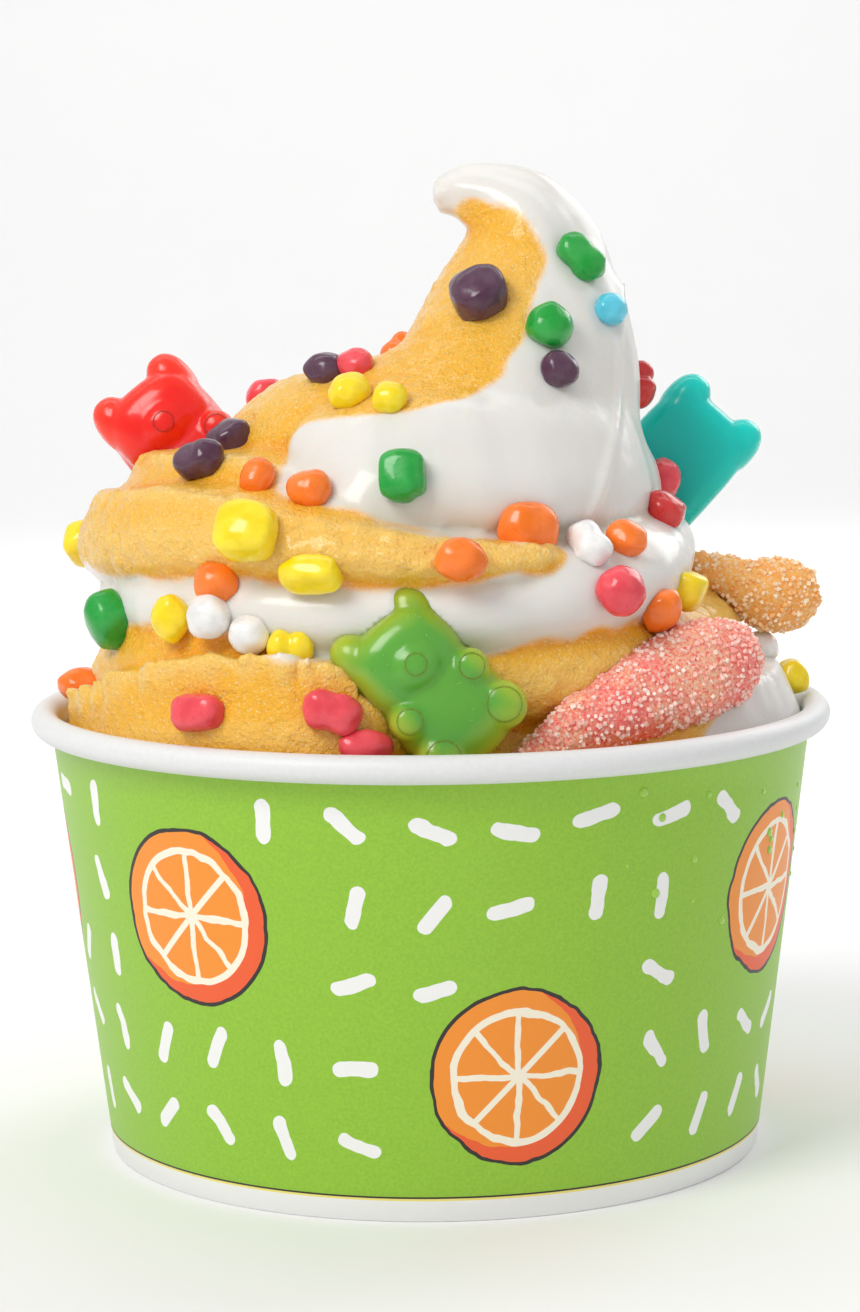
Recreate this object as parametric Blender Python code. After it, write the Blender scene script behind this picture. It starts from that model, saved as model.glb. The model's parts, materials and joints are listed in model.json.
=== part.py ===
"""Frozen yogurt cup: two flavours of soft frozen yogurt swirled in a paper cup, under gummies and candies.

Units are metres. Z is up, and the viewer stands on the -Y side with +X to the right.
The origin is the centre of the ring that the cup stands on. Azimuths are in degrees from +X towards +Y.
"""

import math
import random
from dataclasses import dataclass

import bmesh
import bpy
import numpy as np
from mathutils import Euler, Matrix, Vector
from mathutils.bvhtree import BVHTree

# Paper cup
RIM_RADIUS = 0.0475
ROLL_RADIUS = 0.0016
CUP_HEIGHT = 0.0532
WALL_TOP_RADIUS = 0.0452
FOOT_RADIUS = 0.0389
PAPER = 0.0006
HEM_HEIGHT = 0.0033
FOOT_FOLD = 0.0009
BASE_RECESS = 0.0038
SKIRT_PAPER = 0.0004
TURNED_SEGMENTS = 44
ROLL_STEPS = 7
ROLL_START = -115.0
ROLL_END = 180.0
SHARP_ANGLE = 50.0

# Gaps between pieces that touch
GAP = 0.0003
FILL_GAP = 0.0004
STRAND_GAP = 0.0004
WELD_DISTANCE = 0.00001
OPEN_AIR_TOP = 0.1225

# Resolution of the yogurt's faceted solids
YOGURT_VOXEL = 0.0014
YOGURT_TRIANGLES = 2800
YOGURT_SMOOTHING = 2
STRAND_VOXEL = 0.0018
STRAND_TRIANGLES = 700
STRAND_SMOOTHING = 6
SECTION_POINTS = 20
SWEEP_STEPS = 40
DEGREES_PER_STEP = 6.0

# Where the front view is taken from, and how far out a sight line from the back starts
EYE = Vector((0.0, -0.41, 0.1096))
FAR_OUT = 0.09
SCATTER_SEED = 7


@dataclass(frozen=True)
class Station:
    """One place along a fold of yogurt: azimuth, ring radius, height, radial half width and half height."""

    azimuth: float
    ring: float
    height: float
    reach: float
    rise: float


@dataclass(frozen=True)
class Bead:
    """One place along the last rope: its centre and radius."""

    x: float
    y: float
    z: float
    radius: float


@dataclass(frozen=True)
class Pebble:
    """One candy: its place across and up on the cup's middle plane, its width, height, turn and flavour."""

    across: float
    up: float
    wide: float
    tall: float
    turn: float
    strand: str


# Folds of the swirl, from the rim up, each with the share by which its crest stands out.
# Each one runs anticlockwise, seen from above.
FOLDS = {
    "rim_left": (0.38, [
        Station(150, 0.0330, 0.0430, 0.0105, 0.0085),
        Station(190, 0.0335, 0.0460, 0.0105, 0.0090),
        Station(228, 0.0335, 0.0525, 0.0105, 0.0092),
        Station(252, 0.0330, 0.0535, 0.0100, 0.0092),
        Station(268, 0.0310, 0.0510, 0.0090, 0.0080),
    ]),
    "thin_left": (0.26, [
        Station(175, 0.0298, 0.0565, 0.0100, 0.0055),
        Station(225, 0.0307, 0.0602, 0.0107, 0.0057),
        Station(260, 0.0286, 0.0575, 0.0100, 0.0053),
    ]),
    "middle_white": (0.0, [
        Station(150, 0.0280, 0.0640, 0.0110, 0.0070),
        Station(205, 0.0295, 0.0665, 0.0110, 0.0062),
        Station(240, 0.0290, 0.0672, 0.0112, 0.0062),
        Station(268, 0.0275, 0.0670, 0.0112, 0.0065),
        Station(310, 0.0265, 0.0690, 0.0112, 0.0068),
        Station(350, 0.0210, 0.0710, 0.0110, 0.0070),
        Station(420, 0.0210, 0.0730, 0.0120, 0.0075),
    ]),
    "under_white": (0.0, [
        Station(258, 0.0260, 0.0590, 0.0100, 0.0070),
        Station(300, 0.0265, 0.0600, 0.0110, 0.0075),
        Station(345, 0.0270, 0.0610, 0.0098, 0.0060),
        Station(400, 0.0280, 0.0620, 0.0110, 0.0070),
    ]),
    "orange_lobe": (0.16, [
        Station(120, 0.0275, 0.0715, 0.0110, 0.0070),
        Station(180, 0.0302, 0.0722, 0.0114, 0.0070),
        Station(226, 0.0295, 0.0745, 0.0114, 0.0067),
        Station(254, 0.0292, 0.0738, 0.0110, 0.0046),
        Station(276, 0.0300, 0.0728, 0.0095, 0.0028),
        Station(298, 0.0300, 0.0730, 0.0085, 0.0020),
    ]),
    "upper_left": (0.16, [
        Station(110, 0.0230, 0.0770, 0.0110, 0.0065),
        Station(185, 0.0245, 0.0780, 0.0115, 0.0058),
        Station(225, 0.0228, 0.0787, 0.0113, 0.0057),
        Station(250, 0.0215, 0.0765, 0.0105, 0.0050),
    ]),
    "white_front": (0.0, [
        Station(228, 0.0185, 0.0790, 0.0115, 0.0060),
        Station(262, 0.0210, 0.0800, 0.0128, 0.0068),
        Station(300, 0.0200, 0.0790, 0.0125, 0.0070),
        Station(350, 0.0160, 0.0790, 0.0120, 0.0080),
        Station(420, 0.0150, 0.0790, 0.0120, 0.0080),
    ]),
    "under_peak": (0.0, [
        Station(222, 0.0120, 0.0835, 0.0150, 0.0070),
        Station(255, 0.0135, 0.0838, 0.0165, 0.0085),
        Station(290, 0.0135, 0.0838, 0.0165, 0.0090),
        Station(330, 0.0120, 0.0835, 0.0160, 0.0090),
        Station(360, 0.0100, 0.0830, 0.0140, 0.0080),
    ]),
    "rim_right": (0.10, [
        Station(292, 0.0300, 0.0470, 0.0105, 0.0080),
        Station(335, 0.0335, 0.0490, 0.0108, 0.0100),
        Station(375, 0.0330, 0.0490, 0.0108, 0.0098),
        Station(425, 0.0330, 0.0470, 0.0105, 0.0090),
    ]),
    "rim_back": (0.26, [
        Station(35, 0.0325, 0.0500, 0.0108, 0.0090),
        Station(90, 0.0325, 0.0540, 0.0108, 0.0085),
        Station(150, 0.0300, 0.0580, 0.0108, 0.0075),
        Station(185, 0.0290, 0.0590, 0.0100, 0.0060),
    ]),
    "middle_back": (0.26, [
        Station(0, 0.0235, 0.0640, 0.0105, 0.0065),
        Station(60, 0.0265, 0.0660, 0.0115, 0.0065),
        Station(120, 0.0275, 0.0690, 0.0115, 0.0065),
        Station(170, 0.0285, 0.0710, 0.0115, 0.0065),
    ]),
}
CREST_ANGLE = 48.0
CREST_WIDTH = 34.0
FOLD_END_SIZE = 0.12
FOLD_END_POWER = 8

# The mound under the folds, as radius and height down its outer side
MOUND = [(0.0150, 0.0850), (0.0215, 0.0780), (0.0250, 0.0700), (0.0310, 0.0600), (0.0360, 0.0500)]

# The last rope: from behind, round the left, and up to the peak that folds over to the left
ROPE = [
    Bead(0.0040, 0.0150, 0.0780, 0.0080),
    Bead(-0.0080, 0.0120, 0.0800, 0.0090),
    Bead(-0.0150, 0.0030, 0.0815, 0.0095),
    Bead(-0.0130, -0.0080, 0.0825, 0.0104),
    Bead(-0.0040, -0.0120, 0.0830, 0.0120),
    Bead(0.0060, -0.0090, 0.0850, 0.0147),
    Bead(0.0105, -0.0040, 0.0905, 0.0154),
    Bead(0.0118, -0.0010, 0.0965, 0.0132),
    Bead(0.0122, 0.0, 0.1015, 0.0106),
    Bead(0.0117, 0.0, 0.1060, 0.0091),
    Bead(0.0100, 0.0, 0.1096, 0.0072),
    Bead(0.0072, 0.0, 0.1118, 0.0049),
    Bead(0.0040, 0.0, 0.1126, 0.0033),
    Bead(0.0012, 0.0, 0.1121, 0.0018),
]
ROPE_RIDGES = 5
ROPE_GROOVE = 0.10
ROPE_RIDGE_TURN = -35.0

# The orange flavour's strand: its turns, and the side of the last rope that it takes
ORANGE_TURNS = {
    "long_turn": [
        Station(120, 0.0400, 0.0480, 0.0120, 0.0080),
        Station(180, 0.0420, 0.0530, 0.0130, 0.0110),
        Station(228, 0.0420, 0.0535, 0.0140, 0.0120),
        Station(258, 0.0420, 0.0510, 0.0140, 0.0115),
        Station(300, 0.0410, 0.0535, 0.0130, 0.0122),
        Station(322, 0.0370, 0.0600, 0.0100, 0.0055),
        Station(345, 0.0350, 0.0630, 0.0100, 0.0036),
        Station(420, 0.0340, 0.0650, 0.0120, 0.0060),
        Station(490, 0.0340, 0.0700, 0.0130, 0.0080),
        Station(540, 0.0320, 0.0775, 0.0150, 0.0105),
        Station(570, 0.0310, 0.0800, 0.0150, 0.0125),
        Station(588, 0.0290, 0.0810, 0.0140, 0.0118),
    ],
    "lobe": [
        Station(180, 0.0370, 0.0740, 0.0090, 0.0060),
        Station(218, 0.0370, 0.0762, 0.0090, 0.0060),
        Station(244, 0.0370, 0.0754, 0.0085, 0.0050),
        Station(270, 0.0372, 0.0733, 0.0082, 0.0029),
        Station(298, 0.0375, 0.0735, 0.0070, 0.0017),
    ],
    "left_end": [
        Station(190, 0.0300, 0.0785, 0.0120, 0.0080),
        Station(215, 0.0300, 0.0785, 0.0120, 0.0080),
        Station(238, 0.0290, 0.0780, 0.0120, 0.0068),
    ],
}
ORANGE_ROPE = [
    Bead(-0.0228, -0.0165, 0.0812, 0.0066),
    Bead(-0.0215, -0.0110, 0.0840, 0.0085),
    Bead(-0.0200, 0.0020, 0.0850, 0.0095),
    Bead(-0.0190, -0.0070, 0.0880, 0.0108),
    Bead(-0.0130, -0.0160, 0.0965, 0.0110),
    Bead(-0.0040, -0.0180, 0.0993, 0.0138),
    Bead(-0.0020, -0.0150, 0.1010, 0.0136),
    Bead(0.0012, -0.0110, 0.1028, 0.0120),
    Bead(0.0045, -0.0080, 0.1032, 0.0098),
]
ROPE_BALLS = 20
BALL_SEGMENTS = 24
BALL_RINGS = 16

# Pebble candies that show from the front
PEBBLES = [
    Pebble(-0.0118, 0.0917, 0.0050, 0.0042, 0, "orange"),
    Pebble(-0.0083, 0.0924, 0.0046, 0.0038, 0, "orange"),
    Pebble(-0.0089, 0.0890, 0.0045, 0.0049, 0, "orange"),
    Pebble(-0.0043, 0.0883, 0.0040, 0.0040, 0, "orange"),
    Pebble(-0.0266, 0.0814, 0.0060, 0.0048, 20, "orange"),
    Pebble(-0.0231, 0.0836, 0.0047, 0.0045, 0, "orange"),
    Pebble(-0.0200, 0.0793, 0.0039, 0.0046, 0, "orange"),
    Pebble(-0.0139, 0.0775, 0.0050, 0.0047, 0, "white"),
    Pebble(-0.0030, 0.0794, 0.0050, 0.0058, 0, "white"),
    Pebble(-0.0211, 0.0728, 0.0067, 0.0064, 0, "orange"),
    Pebble(-0.0138, 0.0686, 0.0066, 0.0041, 0, "white"),
    Pebble(-0.0249, 0.0673, 0.0051, 0.0049, 0, "white"),
    Pebble(-0.0373, 0.0632, 0.0056, 0.0066, -35, "orange"),
    Pebble(-0.0302, 0.0631, 0.0045, 0.0052, 0, "orange"),
    Pebble(-0.0258, 0.0632, 0.0050, 0.0050, 0, "white"),
    Pebble(-0.0212, 0.0613, 0.0044, 0.0044, 0, "white"),
    Pebble(-0.0166, 0.0594, 0.0050, 0.0045, 0, "orange"),
    Pebble(-0.0412, 0.0568, 0.0060, 0.0050, 30, "orange"),
    Pebble(-0.0275, 0.0515, 0.0065, 0.0040, 10, "orange"),
    Pebble(-0.0118, 0.0514, 0.0064, 0.0048, -15, "orange"),
    Pebble(-0.0080, 0.0470, 0.0060, 0.0040, -5, "orange"),
    Pebble(0.0037, 0.0694, 0.0055, 0.0047, 0, "white"),
    Pebble(0.0179, 0.1047, 0.0046, 0.0062, 25, "white"),
    Pebble(0.0213, 0.0988, 0.0043, 0.0038, 0, "white"),
    Pebble(0.0144, 0.0967, 0.0053, 0.0053, 0, "white"),
    Pebble(0.0153, 0.0918, 0.0044, 0.0043, 0, "white"),
    Pebble(0.0066, 0.1003, 0.0063, 0.0060, 35, "orange"),
    Pebble(0.0114, 0.0732, 0.0070, 0.0062, -20, "white"),
    Pebble(0.0286, 0.0792, 0.0046, 0.0046, 0, "white"),
    Pebble(0.0276, 0.0745, 0.0052, 0.0045, 0, "white"),
    Pebble(0.0232, 0.0712, 0.0045, 0.0046, 0, "white"),
    Pebble(0.0189, 0.0707, 0.0044, 0.0062, 0, "white"),
    Pebble(0.0222, 0.0656, 0.0058, 0.0055, 0, "white"),
    Pebble(0.0271, 0.0637, 0.0045, 0.0054, 0, "white"),
    Pebble(0.0430, 0.0550, 0.0048, 0.0044, 0, "white"),
    Pebble(0.0301, 0.0659, 0.0043, 0.0046, 0, "white"),
    Pebble(0.0394, 0.0584, 0.0046, 0.0042, 0, "white"),
]
PEBBLE_SEGMENTS = 6
PEBBLE_RINGS = 4
PEBBLE_DEPTH = 0.85
PEBBLE_STAND = 0.22

# Pebble candies on the back, laid by a seeded draw: how many, and the heights between which they lie
BACK_PEBBLES = 18
BACK_LOW = 0.057
BACK_HIGH = 0.094
BACK_SIZE = (0.0040, 0.0056)
BACK_AZIMUTHS = (-8.0, 178.0)
BACK_SPACING = 0.0075

# Gummy bears, each with its centre, turn in the front view, lean back and turn about its own length
BEAR_VOXEL = 0.0007
BEAR_TRIANGLES = 350
BEAR_SMOOTHING = 1
BEAR_SEGMENTS = 16
BEAR_RINGS = 12
BEARS = {
    "gummy_bear_green": ((0.0003, -0.0376, 0.0590), -41, -4, 8),
    "gummy_bear_red": ((-0.0287, 0.0010, 0.0828), -39, -12, 0),
    "gummy_bear_teal": ((0.0290, 0.0080, 0.0794), 42, 3, 172),
}
BEAR_BACK = 0.0036
# Rounded parts of a bear: centre, half sizes, and how far the shape is squared across and in depth,
# from 1 for round. Paired ones get their mirror image too.
BEAR_MIDDLE = {
    "head": ((0.0, -0.0004, 0.0046), (0.0062, 0.0042, 0.0051), (0.75, 0.85)),
    "muzzle": ((0.0, -0.0030, 0.0036), (0.0033, 0.0025, 0.0028), (1.0, 0.9)),
    "belly": ((0.0, -0.0004, -0.0026), (0.0064, 0.0041, 0.0066), (0.75, 0.85)),
    "back": ((0.0, 0.0014, 0.0003), (0.0065, 0.0026, 0.0093), (0.5, 0.8)),
}
BEAR_PAIRED = {
    "ear": ((0.0041, 0.0002, 0.0074), (0.0026, 0.0030, 0.0038), (0.9, 0.9)),
    "arm": ((0.0045, -0.0020, -0.0006), (0.0021, 0.0028, 0.0021), (1.0, 0.5)),
    "leg": ((0.0044, -0.0018, -0.0060), (0.0027, 0.0029, 0.0028), (1.0, 0.5)),
}

# Sour gummies: beads along the tear shape, tail first
SOUR_GUMMIES = {
    "sour_gummy_pink": [
        Bead(0.0095, -0.0374, 0.0513, 0.0011),
        Bead(0.0135, -0.0360, 0.0530, 0.0024),
        Bead(0.0190, -0.0325, 0.0553, 0.0041),
        Bead(0.0250, -0.0288, 0.0576, 0.0052),
        Bead(0.0300, -0.0252, 0.0592, 0.0055),
        Bead(0.0336, -0.0222, 0.0602, 0.0047),
        Bead(0.0360, -0.0200, 0.0608, 0.0028),
    ],
    "sour_gummy_orange": [
        Bead(0.0302, -0.0010, 0.0694, 0.0011),
        Bead(0.0335, -0.0010, 0.0680, 0.0021),
        Bead(0.0372, -0.0010, 0.0662, 0.0033),
        Bead(0.0408, -0.0010, 0.0652, 0.0045),
        Bead(0.0440, -0.0010, 0.0655, 0.0037),
        Bead(0.0460, -0.0010, 0.0660, 0.0018),
    ],
}
SOUR_STEPS = 14
SOUR_SECTION = 10
SOUR_FLATNESS = 0.85

# Colour, roughness and metallic value of each piece
FINISHES = {
    "cup_wall": ((0.35, 0.62, 0.12), 0.45, 0.0),
    "cup_base": ((0.90, 0.90, 0.88), 0.60, 0.0),
    "yogurt_orange": ((0.96, 0.48, 0.07), 0.55, 0.0),
    "yogurt_white": ((0.86, 0.85, 0.82), 0.35, 0.0),
    "gummy_bear_red": ((0.80, 0.02, 0.02), 0.25, 0.0),
    "gummy_bear_green": ((0.18, 0.45, 0.05), 0.25, 0.0),
    "gummy_bear_teal": ((0.00, 0.36, 0.33), 0.25, 0.0),
    "sour_gummy_pink": ((0.80, 0.12, 0.16), 0.70, 0.0),
    "sour_gummy_orange": ((0.92, 0.35, 0.08), 0.70, 0.0),
}


def clear_scene():
    """Removes every object that the file holds."""
    for item in list(bpy.data.objects):
        bpy.data.objects.remove(item, do_unlink=True)


def add_object(name, bm):
    """Makes an object from a bmesh, which is freed."""
    mesh = bpy.data.meshes.new(name)
    bm.to_mesh(mesh)
    bm.free()
    item = bpy.data.objects.new(name, mesh)
    bpy.context.scene.collection.objects.link(item)
    return item


def finish(item):
    """Gives a finished piece its own material and a smooth surface with its true edges kept."""
    color, roughness, metallic = FINISHES[item.name]
    material = bpy.data.materials.new(item.name)
    material.use_nodes = True
    shader = material.node_tree.nodes["Principled BSDF"]
    shader.inputs["Base Color"].default_value = (*color, 1.0)
    shader.inputs["Roughness"].default_value = roughness
    shader.inputs["Metallic"].default_value = metallic
    item.data.materials.clear()
    item.data.materials.append(material)
    item.data.shade_smooth()
    item.data.set_sharp_from_angle(angle=math.radians(SHARP_ANGLE))


def bake(item):
    """Turns an object's modifiers into its mesh."""
    depsgraph = bpy.context.evaluated_depsgraph_get()
    baked = bpy.data.meshes.new_from_object(item.evaluated_get(depsgraph))
    spent = item.data
    item.modifiers.clear()
    item.data = baked
    bpy.data.meshes.remove(spent)


def combine(item, operation, others):
    """Cuts or joins an object with others in one Boolean, and removes the others."""
    group = bpy.data.collections.new("operands")
    for other in others:
        group.objects.link(other)
    boolean = item.modifiers.new("Boolean", "BOOLEAN")
    boolean.operation = operation
    boolean.solver = "MANIFOLD"
    boolean.operand_type = "COLLECTION"
    boolean.collection = group
    bake(item)
    for other in others:
        bpy.data.objects.remove(other, do_unlink=True)
    bpy.data.collections.remove(group)
    keep_largest(item)


def copy_of(item, name, grow=0.0):
    """Copies an object, with its surface moved outwards by a distance."""
    twin = item.copy()
    twin.data = item.data.copy()
    twin.name = name
    bpy.context.scene.collection.objects.link(twin)
    if grow:
        displace = twin.modifiers.new("Displace", "DISPLACE")
        displace.strength = grow
        displace.mid_level = 0.0
        bake(twin)
    return twin


def keep_largest(item):
    """Keeps an object's largest connected shell, so that loose scraps go and sealed hollows fill."""
    bm = bmesh.new()
    bm.from_mesh(item.data)
    bmesh.ops.remove_doubles(bm, verts=bm.verts, dist=WELD_DISTANCE)
    bmesh.ops.dissolve_degenerate(bm, edges=bm.edges, dist=WELD_DISTANCE)
    waiting = set(bm.faces)
    largest = set()
    while waiting:
        shell = {waiting.pop()}
        front = list(shell)
        while front:
            for edge in front.pop().edges:
                for face in edge.link_faces if len(edge.link_faces) == 2 else ():
                    if face in waiting:
                        waiting.remove(face)
                        shell.add(face)
                        front.append(face)
        if len(shell) > len(largest):
            largest = shell
    bmesh.ops.delete(bm, geom=[f for f in bm.faces if f not in largest], context="FACES")
    bm.to_mesh(item.data)
    bm.free()


def turned(name, profile):
    """Turns a closed profile of radius and height about the upright axis."""
    bm = bmesh.new()
    corners = [bm.verts.new((radius, 0.0, height)) for radius, height in profile]
    edges = [bm.edges.new((corners[i], corners[i - 1])) for i in range(len(corners))]
    edges = [e for e in edges if not all(abs(v.co.x) < 1e-9 for v in e.verts)]
    bmesh.ops.spin(
        bm, geom=corners + edges, cent=(0, 0, 0), axis=(0, 0, 1), angle=math.tau,
        steps=TURNED_SEGMENTS, use_merge=True,
    )
    bmesh.ops.remove_doubles(bm, verts=bm.verts, dist=1e-6)
    loose = [e for e in bm.edges if not e.link_faces]
    bmesh.ops.delete(bm, geom=loose, context="EDGES")
    bmesh.ops.recalc_face_normals(bm, faces=bm.faces)
    return add_object(name, bm)


def wall_radius(height):
    """Outer radius of the cup's side wall at a height."""
    roll_height = CUP_HEIGHT - ROLL_RADIUS
    return FOOT_RADIUS + (WALL_TOP_RADIUS - FOOT_RADIUS) * height / roll_height


def inner_radius(height):
    """Inner radius of the cup's side wall at a height."""
    return wall_radius(height) - PAPER


def build_cup():
    """Builds the side wall with its rolled rim and turned-in hem, and the base disc with its skirt."""
    roll_height = CUP_HEIGHT - ROLL_RADIUS
    roll_centre = RIM_RADIUS - ROLL_RADIUS
    roll = []
    for step in range(ROLL_STEPS + 1):
        angle = math.radians(ROLL_START + (ROLL_END - ROLL_START) * step / ROLL_STEPS)
        out, up = ROLL_RADIUS * math.cos(angle), ROLL_RADIUS * math.sin(angle)
        roll.append((roll_centre + out, roll_height + up))
    under_roll = roll_height - ROLL_RADIUS
    skirt_outer = inner_radius(FOOT_FOLD) - GAP
    hem_outer = skirt_outer - SKIRT_PAPER - GAP
    hem_inner = hem_outer - PAPER
    wall = [
        (hem_inner, 0.0),
        (wall_radius(0.0), 0.0),
        (wall_radius(under_roll), under_roll),
        *roll,
        (inner_radius(under_roll), under_roll),
        (inner_radius(FOOT_FOLD), FOOT_FOLD),
        (hem_outer, FOOT_FOLD),
        (hem_outer, HEM_HEIGHT),
        (hem_inner, HEM_HEIGHT),
    ]
    base_top = BASE_RECESS + PAPER
    base = [
        (0.0, BASE_RECESS),
        (skirt_outer - SKIRT_PAPER, BASE_RECESS),
        (skirt_outer - SKIRT_PAPER, FOOT_FOLD + GAP),
        (skirt_outer, FOOT_FOLD + GAP),
        (inner_radius(base_top) - GAP, base_top),
        (0.0, base_top),
    ]
    return [turned("cup_wall", wall), turned("cup_base", base)]


def smooth_path(values, steps):
    """Reads evenly spaced rows from a smooth curve through the given rows."""
    rows = np.array(values, dtype=float)
    padded = np.vstack([2 * rows[0] - rows[1], rows, 2 * rows[-1] - rows[-2]])
    result = []
    for place in np.linspace(0.0, len(rows) - 1.0, steps):
        start = min(int(place), len(rows) - 2)
        t = place - start
        before, here, after, beyond = padded[start:start + 4]
        result.append(
            0.5 * (2 * here + (after - before) * t + (2 * before - 5 * here + 4 * after - beyond) * t ** 2
                   + (3 * here - before - 3 * after + beyond) * t ** 3)
        )
    return result


def bridge(name, rings):
    """Joins rings of points into one closed tube with filled ends."""
    bm = bmesh.new()
    loops = [[bm.verts.new(point) for point in ring] for ring in rings]
    for near, far in zip(loops, loops[1:]):
        for i in range(len(near)):
            j = (i + 1) % len(near)
            bm.faces.new((near[i], near[j], far[j], far[i]))
    bm.faces.new(reversed(loops[0]))
    bm.faces.new(loops[-1])
    bmesh.ops.recalc_face_normals(bm, faces=bm.faces)
    return add_object(name, bm)


def end_taper(share):
    """Rounds a fold's ends: 1 along its length and towards 0 at both ends."""
    return max(FOLD_END_SIZE, (1 - abs(2 * share - 1) ** FOLD_END_POWER) ** 0.5)


def fold(name, stations, crest=0.0):
    """Builds one fold of yogurt: a swept rounded section with a crest along its upper outer side."""
    steps = round((stations[-1].azimuth - stations[0].azimuth) / DEGREES_PER_STEP)
    rows = smooth_path([(s.azimuth, s.ring, s.height, s.reach, s.rise) for s in stations], steps)
    rings = []
    for index, (azimuth, ring, height, reach, rise) in enumerate(rows):
        size = end_taper(index / (steps - 1))
        outwards = Vector((math.cos(math.radians(azimuth)), math.sin(math.radians(azimuth)), 0.0))
        section = []
        for step in range(SECTION_POINTS):
            angle = 360.0 * step / SECTION_POINTS
            off_crest = abs(angle - CREST_ANGLE) / CREST_WIDTH
            bulge = 1 + crest * max(0.0, 1 - off_crest) ** 2
            radial = ring + size * reach * bulge * math.cos(math.radians(angle))
            upwards = height + size * rise * bulge * math.sin(math.radians(angle))
            section.append(outwards * radial + Vector((0.0, 0.0, upwards)))
        rings.append(section)
    return bridge(name, rings)


def rope(name, beads, steps, points, ridges=0, flatness=1.0):
    """Builds a tube through beads, with rounded ends and, if wanted, ridges along it."""
    rows = smooth_path([(b.x, b.y, b.z, b.radius) for b in beads], steps)
    rings = []
    side = Vector((0.0, -1.0, 0.0))
    for index, row in enumerate(rows):
        before = rows[max(index - 1, 0)]
        after = rows[min(index + 1, steps - 1)]
        along = Vector(after[:3] - before[:3]).normalized()
        side = (side - along * side.dot(along)).normalized()
        across = along.cross(side)
        ring = []
        for step in range(points):
            angle = math.tau * step / points
            groove = 1.0
            if ridges:
                phase = (math.degrees(angle) - ROPE_RIDGE_TURN) * ridges / 2
                groove = 1 - ROPE_GROOVE * abs(math.sin(math.radians(phase)))
            offset = side * math.cos(angle) * flatness + across * math.sin(angle)
            ring.append(Vector(row[:3]) + offset * row[3] * groove)
        rings.append(ring)
    return bridge(name, rings)


def balls(name, beads, count):
    """Builds a row of overlapping balls along beads."""
    bm = bmesh.new()
    for x, y, z, radius in smooth_path([(b.x, b.y, b.z, b.radius) for b in beads], count):
        place = Matrix.Translation((x, y, z))
        bmesh.ops.create_uvsphere(
            bm, u_segments=BALL_SEGMENTS, v_segments=BALL_RINGS, radius=radius, matrix=place,
        )
    return add_object(name, bm)


def joined(name, parts, voxel, triangles, smoothing):
    """Joins overlapping closed parts into one even surface and thins it to a number of triangles."""
    bm = bmesh.new()
    for part in parts:
        bm.from_mesh(part.data)
        bpy.data.objects.remove(part, do_unlink=True)
    item = add_object(name, bm)
    remesh = item.modifiers.new("Remesh", "REMESH")
    remesh.mode = "VOXEL"
    remesh.voxel_size = voxel
    relax = item.modifiers.new("Smooth", "SMOOTH")
    relax.factor = 0.5
    relax.iterations = smoothing
    bake(item)
    keep_largest(item)
    decimate = item.modifiers.new("Decimate", "DECIMATE")
    decimate.ratio = min(1.0, triangles / (2 * len(item.data.polygons)))
    bake(item)
    return item


def free_space():
    """Builds the space that the yogurt may take: the cup's inside, and the open air above its rim."""
    roll_height = CUP_HEIGHT - ROLL_RADIUS
    roll_inner = RIM_RADIUS - 2 * ROLL_RADIUS
    floor = BASE_RECESS + PAPER + GAP
    under_roll = roll_height - ROLL_RADIUS
    above = CUP_HEIGHT + FILL_GAP
    return turned("free_space", [
        (0.0, floor),
        (inner_radius(floor) - FILL_GAP, floor),
        (inner_radius(under_roll) - FILL_GAP, under_roll),
        (roll_inner - FILL_GAP, roll_height),
        (roll_inner, CUP_HEIGHT - ROLL_RADIUS / 3),
        (roll_inner + ROLL_RADIUS, above),
        (RIM_RADIUS, above),
        (RIM_RADIUS, OPEN_AIR_TOP),
        (0.0, OPEN_AIR_TOP),
    ])


def build_swirl():
    """Builds the whole swirl as one solid: the fill in the cup, the mound, the folds and the last rope."""
    fill = [
        (0.0, 0.0),
        (wall_radius(0.0), 0.0),
        (WALL_TOP_RADIUS, MOUND[-1][1]),
        *reversed(MOUND),
        (0.0, MOUND[0][1]),
    ]
    parts = [turned("mound", fill)]
    parts += [fold(name, stations, crest) for name, (crest, stations) in FOLDS.items()]
    parts.append(rope("rope", ROPE, SWEEP_STEPS, 2 * SECTION_POINTS, ROPE_RIDGES))
    return joined("swirl", parts, YOGURT_VOXEL, YOGURT_TRIANGLES, YOGURT_SMOOTHING)


def build_orange_strand():
    """Builds the space that the orange flavour takes in the swirl."""
    parts = [fold(name, stations) for name, stations in ORANGE_TURNS.items()]
    parts.append(balls("orange_rope", ORANGE_ROPE, ROPE_BALLS))
    return joined("orange_strand", parts, STRAND_VOXEL, STRAND_TRIANGLES, STRAND_SMOOTHING)


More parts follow.
